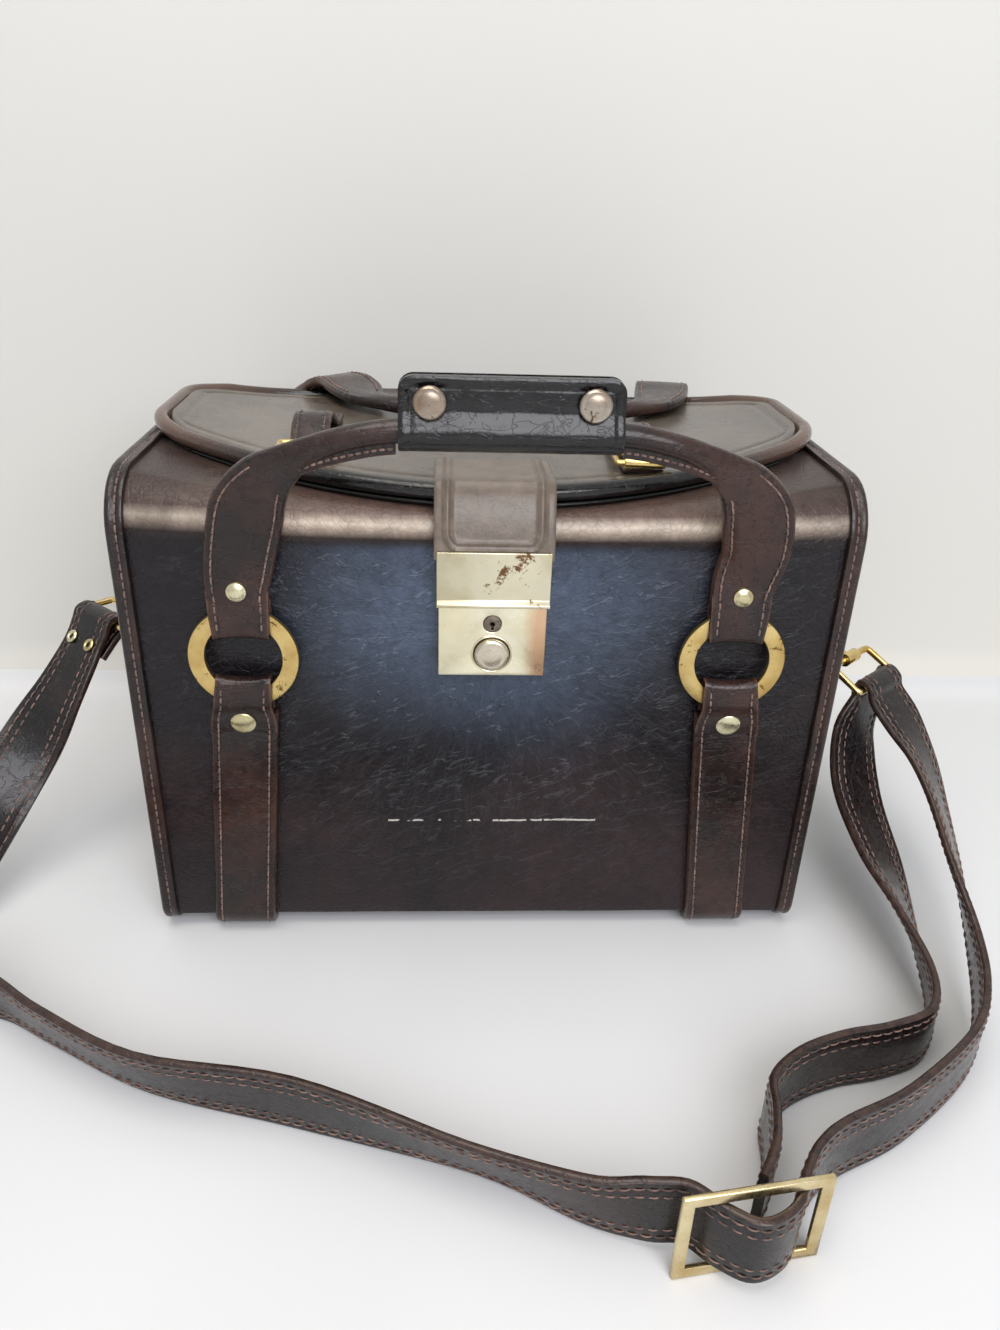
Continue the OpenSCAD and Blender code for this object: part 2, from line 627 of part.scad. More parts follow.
module buckle_prong(x, y) {
    color("#d8b763") translate([x, y + buckle_len, buckle_z(x, y)]) {
        difference() {
            along_x(2.1, -1.4, 1.4);
            along_x(buckle_r + run_gap, -3, 3);
        }
        rod([0, -1.9, 0.9], [0, -buckle_len - 1.6, 3.8], 0.9);
    }
}
module left_buckle_frame() { buckle_frame(left_strap_x, left_buckle_y); }
module right_buckle_frame() { buckle_frame(right_strap_x, right_buckle_y); }
module left_buckle_roller() { buckle_roller(left_strap_x, left_buckle_y); }
module right_buckle_roller() { buckle_roller(right_strap_x, right_buckle_y); }
module left_buckle_prong() { buckle_prong(left_strap_x, left_buckle_y); }
module right_buckle_prong() { buckle_prong(right_strap_x, right_buckle_y); }

// Rings, with the strap loops that hold them
loop_t = 7;
ring_off = 5;
function ring_y(side) =
    side * (back + swell_at(ring_x - ring_r, ring_z, side < 0 ? front_bulge : back_bulge) + ring_off - 1);
module ring_solid(grow = 0) {
    rotate([90, 0, 0]) rotate_extrude()
        translate([ring_r - ring_band - grow, -ring_t / 2 - grow])
            square([ring_band + 2 * grow, ring_t + 2 * grow]);
}
module rings(side) {
    color("#c8a24a") both_sides() translate([ring_x, ring_y(side), ring_z]) ring_solid();
}
// The upper loops keep to the ring's own middle, where the handle ends are threaded
module strap_loops(side) {
    upper = ring_r - ring_band - 3.6;
    color("#3f2620") both_sides() translate([ring_x, ring_y(side), ring_z]) for (s = [-1, 1])
        difference() {
            translate([-loop_w / 2, -loop_t / 2, s > 0 ? upper : -ring_r - 1.1])
                cube([loop_w, loop_t, s > 0 ? ring_r - upper + 2 : ring_r + 1.1 - upper]);
            ring_solid(0.25);
        }
}
module front_rings() { rings(-1); }
module rear_rings() { rings(1); }
module front_strap_loops() { strap_loops(-1); }
module rear_strap_loops() { strap_loops(1); }

// Handles: flat straps that bend towards each other and roll up into the part that is held.
// Each row gives the place as [across, out from the case's face, up from the top of the end panels],
// then width, thickness, roundness and how much of the shift it takes.
front_y = ring_y(-1);
rear_y = ring_y(1);
grip_out_y = 26.5;
grip_up = 26;
handle_z = ring_r + 2.8 - ring_drop;
front_rows = [
    [92, -front_y - back, handle_z, loop_w, handle_t, 0, 0], [92, -front_y - back + 0.3, -32, 24, handle_t, 0, 0],
    [91.5, 11, -18, strap_w, handle_t, 0, 0.8], [88, 15, -4, strap_w, handle_t, 0, 1],
    [82, 18.4, 6, 20, 4.6, 0.15, 1], [74.5, 21, 12.5, 14, 5.8, 0.5, 1], [66, 23.5, 18, 9.5, 7, 0.85, 1],
    [54, grip_out_y - 0.8, 22.8, 2 * roll_r, 2 * roll_r, 1, 1],
    [37, grip_out_y, grip_up, 2 * roll_r, 2 * roll_r, 1, 1],
    [12, grip_out_y, grip_up, 2 * roll_r, 2 * roll_r, 1, 1]];
rear_rows = [
    [92, rear_y - back, handle_z, loop_w, handle_t, 0, 0], [92, rear_y - back + 0.4, -30, 24, handle_t, 0, 0],
    [90.5, rear_y - back, -16, strap_w, handle_t, 0, 0.1], [87, 4, -4.5, strap_w, handle_t, 0, 0.4],
    [82.5, -4, 4.8, strap_w, handle_t, 0, 0.6], [78, -13, 7.2, strap_w, handle_t, 0, 0.85],
    [73, -27, 6.2, 25, handle_t, 0, 1], [67, -43, 5.6, 19, 4.6, 0.3, 1], [57, -54, 5.4, 12, 6.6, 0.7, 1],
    [44, -60, 5.2, 2 * roll_r, 2 * roll_r, 1, 1], [26, -61.5, 5.1, 2 * roll_r, 2 * roll_r, 1, 1],
    [10, -61.5, 5.1, 2 * roll_r, 2 * roll_r, 1, 1]];
function handle_rows(rows, side, shift) =
    let (half = [for (r = rows) [r[0], side * (back + r[1]), case_h + r[2], r[3], r[4], r[5], shift * r[6]]],
        left = [for (r = half) [-r[0] + r[6], r[1], r[2], r[3], r[4], r[5]]],
        right = [for (r = half) [r[0] + r[6], r[1], r[2], r[3], r[4], r[5]]])
    concat(left, reversed(right));
// An eight-sided section that goes from a flat strap to a round roll
function handle_section(k) =
    let (a = mix(0.9, 0.383, k), b = mix(0.5, 0.383, k), c = mix(1, 0.924, k))
    [[c, -b], [c, b], [a, c], [-a, c], [-c, b], [-c, -b], [-a, -c], [a, -c]];
// Where lie is set, the strap turns its face up as it comes over the top of the case
lie_from = -16;
lie_over = 19;
module handle(rows, side, shift, lie) {
    fine = smooth_path(handle_rows(rows, side, shift), 3);
    n = len(fine) - 1;
    place = [for (f = fine) [f[0], f[1], f[2]]];
    color("#3d2721") skin([for (i = [0 : n])
        let (along = unit(place[min(i + 1, n)] - place[max(i - 1, 0)]),
            turn = lie ? min(1, max(0, (place[i][2] - case_h - lie_from) / lie_over)) : 0,
            facing = unit([0, side * (1 - turn), turn]),
            out = unit(facing - along * (facing * along)),
            across = cross(along, out))
        [for (c = handle_section(fine[i][5]))
            place[i] + across * c[0] * fine[i][3] / 2 + out * c[1] * fine[i][4] / 2]]);
}
module front_handle() { handle(front_rows, -1, handle_shift, false); }
module rear_handle() { handle(rear_rows, 1, rear_shift, true); }
handle_rivet_z = ring_z + 27.5;
module handle_rivets(side) {
    color("#cdb26c") both_sides()
        translate([ring_x, ring_y(side) + side * (handle_t / 2 + 0.4), handle_rivet_z])
            rotate([0, 0, side < 0 ? 0 : 180]) rivet_head(3.6, 1.9);
}
module front_handle_rivets() { handle_rivets(-1); }
module rear_handle_rivets() { handle_rivets(1); }

// Hand grip: leather folded up round the front roll and closed above it by two snaps
grip_y = front - grip_out_y;
grip_z = case_h + grip_up;
grip_in = roll_r + 0.3;
grip_out = grip_in + grip_t;
grip_low = grip_z - grip_out;
closed_half = 1.3;
function grip_arc(r, side) = [for (q = [-75 : 15 : 30]) [grip_y - side * r * cos(q), grip_z + r * sin(q)]];
module grip_half(side) {
    top = grip_low + grip_h;
    seam = grip_y - side * 0.1;
    outer = grip_y - side * (closed_half + grip_t);
    inner = grip_y - side * closed_half;
    translate([handle_shift, 0, 0]) extrude_x(-grip_w / 2, grip_w / 2)
        polygon(concat([[seam, grip_z - grip_out]], grip_arc(grip_out, side),
            [[outer, grip_z + 7], [outer, top], [inner, top], [inner, grip_z + 6.3]],
            reversed(grip_arc(grip_in, side)), [[seam, grip_z - grip_in]]));
}
module grip_flap() { color("#1c1413") grip_half(1); }
cap_x = 26;
cap_z = grip_low + 16.5;
module grip_back() {
    color("#1c1413") {
        grip_half(-1);
        for (s = [-1, 1]) translate([handle_shift + s * cap_x, 0, cap_z])
            along_y(3, grip_y + 0.1, grip_y + closed_half + 0.2);
    }
}
cap_stand = 1.5;
module snap_caps() {
    color("#b9a58a") for (s = [-1, 1])
        translate([handle_shift + s * cap_x, grip_y - closed_half - grip_t, cap_z]) {
            translate([0, -cap_stand, 0]) rivet_head(cap_r, 2.6);
            along_y(3, -cap_stand, -0.05);
            along_y(2, grip_t + 0.05, grip_t + closed_half - 0.1);
        }
}

// Shoulder strap: lugs on the side posts, wire loops, and the strap lying in front on the floor
sling_low = floor_z + sling_w / 2 + 0.1;
left_eye = [-165, 12, 106];
left_bar = [-176, 0.5, 106];
left_along = unit([20, -18, 0]);
right_eye = [177, -5, 92];
right_bar = [187, -17.5, 85];
right_along = unit([21, 18, 0]);
hub_r = post_r + 5;
arm_r = 1.9;
module lug(s, knee, eye, along) {
    start = [s * (lug_x0 + lug_t / 2), 0, post_z - hub_r + 1];
    color("#bd9c56") difference() {
        union() {
            translate([0, 0, post_z])
                along_x(hub_r, s > 0 ? lug_x0 : -lug_x0 - lug_t, s > 0 ? lug_x0 + lug_t : -lug_x0);
            rod(start, knee + unit(knee - start) * 1.3, arm_r);
            rod(knee - unit(eye - knee) * 1.5, eye, arm_r + 0.15);
            rod(eye - along * 5, eye + along * 5, wire_r + 1.6);
        }
        translate([0, 0, post_z]) along_x(post_r + run_gap, -half_w - 30, half_w + 30);
        rod(eye - along * 6, eye + along * 6, wire_r + 0.15);
    }
}
module left_lug() { lug(-1, [-154, 15, 107.5], left_eye, left_along); }
module right_lug() { lug(1, [160, 0, 99], right_eye, right_along); }
loop_half = sling_w / 2 + 2.4;
// Corners of a wire loop are cut by short bends
module wire_loop(eye, bar, along) {
    down = unit(bar - eye);
    cut = 2.2;
    c = [eye - along * loop_half, eye + along * loop_half, bar + along * loop_half, bar - along * loop_half];
    path = [for (i = [0 : 3])
        let (p = c[i], a = unit(c[(i + 3) % 4] - p), b = unit(c[(i + 1) % 4] - p))
        for (q = [p + a * cut, p + (a + b) * cut * 0.3, p + b * cut]) q];
    n = len(path);
    flat = unit(cross(along, down));
    color("#c9a757") skin([for (i = [0 : n - 1])
        let (t = unit(path[(i + 1) % n] - path[(i + n - 1) % n]), out = cross(t, flat))
        [for (a = [22.5 : 45 : 340]) path[i] + (out * cos(a) + flat * sin(a)) * wire_r]], closed = true);
}
module left_strap_loop() { wire_loop(left_eye, left_bar, left_along); }
module right_strap_loop() { wire_loop(right_eye, right_bar, right_along); }
// Each row of a route is a point on the strap's middle line and the direction of its width.
// The strap starts doubled round the left wire, lies in front on the floor, passes through the slide buckle,
// runs up round the right wire and comes back down beside itself.
function turn_round(bar, down, out, w, tail) =
    let (d = unit(down), n = unit(out), r = wire_r + 2 * gap + sling_t / 2 + 0.2)
    concat(tail ? [[bar + d * 16 + n * 2.3, w], [bar + d * 6 + n * 3.2, w]] : [[bar + d * 6 + n * 4.4, w]],
        [[bar + n * r, w], [bar - d * r, w], [bar - n * r, w]],
        tail ? [[bar + d * 6 - n * 2.6, w], [bar + d * 16 - n * 1.2, w]] : [[bar + d * 6 - n * 4.4, w]]);
left_down = [-13, -14.5, -22];
right_down = [3.4, -4, -16];
slide_z = sling_low + 4.5;
strap_route = concat(
    turn_round(left_bar, left_down, cross(left_along, unit(left_down)), [-0.74, 0.67, 0], true),
    [[[-192, -20, 79], [-0.76, 0.6, 0.2]],
    [[-203, -32, 60], [-0.8, 0.3, 0.5]], [[-216, -54, 38], [-0.6, 0.15, 0.8]], [[-224, -84, 20], [-0.35, 0.05, 0.94]],
    [[-221, -112, 11.5], [-0.1, 0, 1]], [[-206, -128, sling_low], [0, 0, 1]], [[-184, -138, sling_low], [0, -0.2, 1]],
    [[-161, -153, sling_low], [0, -0.3, 0.95]], [[-122, -174, sling_low], [0, -0.3, 0.95]],
    [[-67, -187.5, sling_low], [0, -0.14, 1]], [[-7, -210, sling_low], [0, -0.4, 0.9]],
    [[28, -226, sling_low + 1], [0, -0.2, 1]], [[46, -231, sling_low + 3], [0, 0, 1]],
    [[58, -233.4, slide_z], [0, 0, 1]], [[67, -241, slide_z], [0, 0, 1]], [[77, -246, slide_z], [0, 0, 1]],
    [[88, -241, slide_z], [0, 0, 1]], [[95, -229.5, slide_z], [0, 0, 1]], [[103, -219, sling_low + 3], [0, 0, 1]],
    [[116, -209, sling_low + 1], [0, 0, 1]], [[143, -196, sling_low], [0, 0, 1]],
    [[176, -172, sling_low + 0.4], [0, 0, 1]],
    [[192, -150, 11.5], [-0.05, 0, 1]], [[200, -125, 18], [-0.2, 0, 1]], [[204, -90, 33], [-0.5, -0.2, 0.8]],
    [[206, -62, 46], [-0.6, -0.4, 0.6]], [[204, -42, 59], [-0.7, -0.6, 0.3]], [[197, -29, 72], [-0.76, -0.65, 0]]],
    reversed(turn_round(right_bar, right_down, cross(right_along, unit(right_down)), [-0.76, -0.65, 0], false)),
    [[[177, -27, 62], [-0.8, -0.5, 0.1]],
    [[174, -48, 44], [-0.85, -0.2, 0.3]], [[175, -80, 31], [-0.8, 0, 0.5]], [[177, -112, 20], [-0.5, 0, 0.8]],
    [[176, -140, 12], [-0.2, 0, 1]], [[166, -160, sling_low + 0.4], [0, 0, 1]], [[148, -168, sling_low], [0, 0, 1]],
    [[128, -172, sling_low], [0, 0, 1]], [[110, -179, sling_low], [0, 0, 1]], [[97, -190, sling_low], [0, 0, 1]],
    [[93, -205, sling_low + 2], [0, 0, 1]], [[88, -220, slide_z], [0, 0, 1]], [[81, -231, slide_z], [0, 0, 1]]]);
module shoulder_strap() { color("#3a231f") band(strap_route, sling_w, sling_t, 3); }
// Two eyelet rivets hold the doubled end
eyelet_down = 13;
eyelet_half = 7;
module strap_rivets() {
    d = unit(left_down);
    n = unit(cross(left_along, d));
    color("#d0b370") for (k = [-1, 1]) {
        foot = left_bar + d * eyelet_down - n * 3.8 + left_along * k * eyelet_half;
        rod(foot, foot - n * 1.2, 2.6);
    }
}
// Slide buckle that the strap's two strands pass through
slider_w = 48;
slider_h = 37;
slider_bar = 4;
slider_t = 2;
slider_x = 77;
slider_y = -238.5;
slider_turn = 8;
module sling_slider() {
    color("#d9bd6a") translate([slider_x, slider_y, floor_z + 0.1]) rotate([0, 0, slider_turn])
        difference() {
            translate([-slider_w / 2, -slider_t / 2, 0]) cube([slider_w, slider_t, slider_h]);
            translate([-slider_w / 2 + slider_bar, -slider_t, slider_bar])
                cube([slider_w - 2 * slider_bar, 2 * slider_t, slider_h - 2 * slider_bar]);
        }
}

base_panel();
front_panel();
back_panel();
left_end_panel();
right_end_panel();
left_binding();
right_binding();
mouth_trim();
lining();
base_pad();
left_divider();
right_divider();
left_base_strap();
right_base_strap();
base_strap_rivets();
lock_plate();
lock_case();
left_side_plate();
right_side_plate();
side_rivets();
hinge_leaf_body();
lid_panel();
lid_rim();
lid_lip();
lid_lining();
hinge_leaf_lid();
tab_root();
left_lid_strap();
right_lid_strap();
left_buckle_frame();
right_buckle_frame();
left_buckle_roller();
right_buckle_roller();
left_buckle_prong();
right_buckle_prong();
closure_tab();
hasp_cover();
lock_button();
button_spring();
lock_latch();
key_plug();
front_handle();
front_rings();
front_strap_loops();
front_handle_rivets();
grip_back();
grip_flap();
snap_caps();
rear_handle();
rear_rings();
rear_strap_loops();
rear_handle_rivets();
left_lug();
right_lug();
left_strap_loop();
right_strap_loop();
shoulder_strap();
strap_rivets();
sling_slider();
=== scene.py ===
import math

import bpy
from mathutils import Matrix, Vector, noise


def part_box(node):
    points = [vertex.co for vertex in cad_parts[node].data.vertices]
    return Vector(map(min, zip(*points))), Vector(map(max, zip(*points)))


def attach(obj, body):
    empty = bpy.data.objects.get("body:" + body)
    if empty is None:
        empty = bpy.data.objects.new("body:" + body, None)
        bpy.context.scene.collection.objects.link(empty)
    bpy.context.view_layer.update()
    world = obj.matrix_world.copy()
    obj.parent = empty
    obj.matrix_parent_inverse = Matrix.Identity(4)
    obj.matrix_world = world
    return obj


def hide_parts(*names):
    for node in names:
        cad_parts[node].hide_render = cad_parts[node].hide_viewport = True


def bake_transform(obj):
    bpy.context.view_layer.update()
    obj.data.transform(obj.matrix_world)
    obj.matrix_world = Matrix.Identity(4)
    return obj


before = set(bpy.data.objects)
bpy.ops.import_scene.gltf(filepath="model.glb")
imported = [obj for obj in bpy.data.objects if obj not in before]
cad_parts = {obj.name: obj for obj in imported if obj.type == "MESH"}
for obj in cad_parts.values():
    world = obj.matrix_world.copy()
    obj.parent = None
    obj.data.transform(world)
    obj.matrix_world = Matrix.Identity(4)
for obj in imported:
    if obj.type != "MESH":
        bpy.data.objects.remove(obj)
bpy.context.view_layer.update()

bpy.ops.object.select_all(action="DESELECT")
MM = 0.001
# Sizes of the case, in millimetres, as in the part's source
CASE_D, CASE_H, INNER_X, WALL = 165, 196, 132, 3.5
FRONT, BACK, MOUTH_Z, FLOOR_Z = -82.5, 82.5, 189, -4.4
TOP_R, LOW_R, RIM_R = 20, 8, 3.2
FRONT_SWELL, FRONT_BEND, BACK_SWELL = 6.5, 2.5, 3
RING_X, RING_Z, RING_R, RING_BAND = 92, 132, 20.5, 6.3
# Where the lower loops bend, and the middle of the front (-1) and rear (1) rings
FLEX_Z = RING_Z - RING_R - 1.2
RING_Y = {-1: -93.687 + 2.9, 1: 91.379 - 2.9}
# Straps: widths and thicknesses
STRAP_W, STRAP_T, LOOP_W = 25.4, 4.2, 22
SLING_W, SLING_T, LID_STRAP_W, LID_STRAP_T, HINGE_W, HINGE_T = 28, 3, 15, 2, 130, 1.2
# Lock and button spring
LOCK_FRONT, LOCK_Z = -96.5, 128
SPRING_WIRE, SPRING_TURNS = 0.9, 3
# How far the sewing lies from a strap's edge, one row on the handles and two on the shoulder strap
SEAM, SLING_SEAMS = 3, (3.2, 6.6)


# Camera, fitted to the photograph's frame
FRAME_WIDE, FRAME_HIGH, SENSOR = 1000, 1330, 36


def add_camera():
    """The fitted camera: its turn from three angles, its place in metres and its lens"""
    pitch, yaw, roll = math.radians(26.65), math.radians(3.42), math.radians(1.99)
    ahead = Vector((math.sin(yaw) * math.cos(pitch), math.cos(yaw) * math.cos(pitch), -math.sin(pitch)))
    level = Vector((math.cos(yaw), -math.sin(yaw), 0))
    over = level.cross(ahead)
    right = level * math.cos(roll) + over * math.sin(roll)
    top = over * math.cos(roll) - level * math.sin(roll)
    bpy.ops.object.camera_add()
    camera = bpy.context.object
    turn = Matrix((right, top, -ahead)).transposed().to_4x4()
    camera.matrix_world = Matrix.Translation((-0.0166, -0.4287, 0.2994)) @ turn
    camera.data.lens = SENSOR * FRAME_WIDE / FRAME_HIGH
    camera.data.sensor_width = SENSOR
    camera.data.clip_start = 0.01
    bpy.context.scene.camera = camera


add_camera()


# Materials
def srgb(code):
    """A hex colour as the linear value that the shader takes"""
    parts = [int(code[i:i + 2], 16) / 255 for i in (1, 3, 5)]
    return [c / 12.92 if c <= 0.04045 else ((c + 0.055) / 1.055) ** 2.4 for c in parts] + [1]


def add(tree, kind, values=(), operation=None, take=None, stops=(), **settings):
    """Adds a node with its inputs' values, hex colours or links, its settings and a ramp's stops; gives back
    one output"""
    made = tree.nodes.new("ShaderNode" + kind)
    if operation:
        made.operation = operation
    for key, value in settings.items():
        setattr(made, key, value)
    for key, value in values.items() if isinstance(values, dict) else enumerate(values):
        if isinstance(value, bpy.types.NodeSocket):
            tree.links.new(value, made.inputs[key])
        else:
            made.inputs[key].default_value = srgb(value) if isinstance(value, str) else value
    if stops:
        ramp = made.color_ramp.elements
        while len(ramp) < len(stops):
            ramp.new(0.5)
        for element, (place, colour) in zip(ramp, stops):
            element.position = place
            element.color = srgb(colour)
    return made.outputs[take] if take else next(output for output in made.outputs if output.enabled)


def new_material(name, **values):
    """A material with values on its shader's sockets, its nodes, and the place on the object"""
    made = bpy.data.materials.new(name)
    made.use_nodes = True
    surface = made.node_tree.nodes["Principled BSDF"]
    for key, value in values.items():
        surface.inputs[key.replace("_", " ")].default_value = value
    return made, made.node_tree, add(made.node_tree, "TexCoord", take="Object")


def connect(made, **links):
    """Links outputs to the shader's sockets"""
    surface = made.node_tree.nodes["Principled BSDF"]
    for key, value in links.items():
        made.node_tree.links.new(value, surface.inputs[key.replace("_", " ")])
    return made


def per(size):
    """A pattern's scale from the size of its features in millimetres"""
    return 1 / (size * MM)


# How much detail there is in uneven dye and dirt, and in the fine grain
COARSE, FINE = {"Detail": 4, "Roughness": 0.6}, {"Detail": 6, "Roughness": 0.65}
# Setting of a range that begins and ends softly
SOFT = {"interpolation_type": "SMOOTHSTEP"}


def creases(tree, place, scale, width, winding=0.6):
    """Thin winding lines in the surface: 1 on a line, 0 beside it"""
    level = add(tree, "TexNoise", {"Vector": place, "Scale": scale, "Detail": 3, "Roughness": 0.6,
                                   "Distortion": winding})
    off = add(tree, "Math", [add(tree, "Math", [level, 0.5], "SUBTRACT")], "ABSOLUTE")
    return add(tree, "MapRange", [off, 0.0, width, 1, 0], **SOFT)


# How much finer the grain is than the patches, the distance of the stitch rows and half their width, and the
# near-black painted shade in the stitch holes
FINER = 14
STITCH_ROW_STEP, STITCH_HALF_WIDTH, HOLE_SHADE_COLOUR = SLING_SEAMS[1] - SLING_SEAMS[0], 0.75, "#0d0808"


def leather(name, dark, warm, worn, rough=(0.24, 0.4), pore=1.111, patch=71.43, sewn=0, pitch=3.4, seam=SEAM,
            edge=True, crease=0.5, coat=0.25, specular=0.32, film=0.16):
    """Finished leather: uneven dye, pores drawn coarser than life so that they show, flex creases, rubbed
    edges and dents along the stitching; pores and patches are sizes in mm"""
    made, tree, place = new_material(name, Coat_Weight=coat, Coat_Roughness=film, Specular_IOR_Level=specular)
    patches = add(tree, "TexNoise", {"Vector": place, "Scale": per(patch), **COARSE})
    dye = add(tree, "MapRange", [patches, 0.42, 0.64])
    colour = add(tree, "Mix", {0: dye, 6: dark, 7: warm}, data_type="RGBA")
    fine = add(tree, "TexNoise", {"Vector": place, "Scale": per(patch / FINER), **FINE})
    drawn = add(tree, "Mapping", {"Vector": place, "Rotation": (0.3, 0.2, 0.5), "Scale": (1, 1, 3.2)})
    folds = add(tree, "Math", [creases(tree, drawn, per(22.22), 0.014),
                               creases(tree, place, per(8.333), 0.018)], "MAXIMUM")
    # Colour darkened along the flex creases: painted shade
    lit = add(tree, "Math", [folds, -0.4 * crease, fine], "MULTIPLY_ADD")
    tone = add(tree, "MapRange", [lit, 0.1, 0.75, 0.45, 1.35])
    final = add(tree, "Mix", {0: 1.0, 6: colour, 7: tone}, data_type="RGBA", blend_type="MULTIPLY")
    pores = add(tree, "TexVoronoi", {"Vector": place, "Scale": per(pore)}, feature="SMOOTH_F1")
    height = add(tree, "Math", [pores, 0.25], "MULTIPLY")
    height = add(tree, "Math", [folds, -crease, height], "MULTIPLY_ADD")
    if edge:
        along, inset, _ = add(tree, "SeparateXYZ", [add(tree, "TexCoord", take="UV")]).node.outputs
        near = add(tree, "MapRange", [inset, 0.1, 1.9, 1, 0], **SOFT)
        rub = add(tree, "Math", [near, fine], "MULTIPLY")
        rubbed = add(tree, "MapRange", [rub, 0.25, 0.75, 0, 0.8])
        final = add(tree, "Mix", {0: rubbed, 6: final, 7: worn}, data_type="RGBA")
        for k in range(sewn):
            row = add(tree, "Math", [inset, seam + STITCH_ROW_STEP * k, STITCH_HALF_WIDTH], "COMPARE")
            wave = add(tree, "Math", [add(tree, "Math", [along, 2 * math.pi / pitch], "MULTIPLY")], "COSINE")
            dent = add(tree, "Math", [wave, 0.5, 0.5], "MULTIPLY_ADD")
            hole = add(tree, "Math", [row, dent], "MULTIPLY")
            height = add(tree, "Math", [hole, -0.7, height], "MULTIPLY_ADD")
            # Stitch holes painted near-black: painted shade
            final = add(tree, "Mix", {0: hole, 6: final, 7: HOLE_SHADE_COLOUR}, data_type="RGBA")
    gloss = add(tree, "MapRange", [fine, 0.3, 0.7, *rough])
    bump = add(tree, "Bump", {"Strength": 0.7, "Distance": 0.0004, "Height": height})
    return connect(made, Base_Color=final, Roughness=gloss, Normal=bump)


# Places on the front in metres: the middle of the painted sheen round the lock, the lower edge of the lock,
# and the scratch
SHEEN_Z, SHEEN_FLATTER, CREASE_Z = 0.150, 1.35, 0.142
SCRATCH_X, SCRATCH_HALF, SCRATCH_Z, SCRATCH_THIN = 0.003, 0.0433, 0.0547, 0.00045
# The bend at the mouth, from its foot to its top, and its colours on the way, with a painted highlight along
# the crest
BEND_LOW, BEND_HIGH = 0.17, 0.195
BEND_HIGHLIGHT_STOPS = [(0.0, "#1a1416"), (0.34, "#2a201e"), (0.46, "#8f8073"), (0.56, "#baac9d"), (0.7, "#5b4a43"),
              (1.0, "#43352f")]


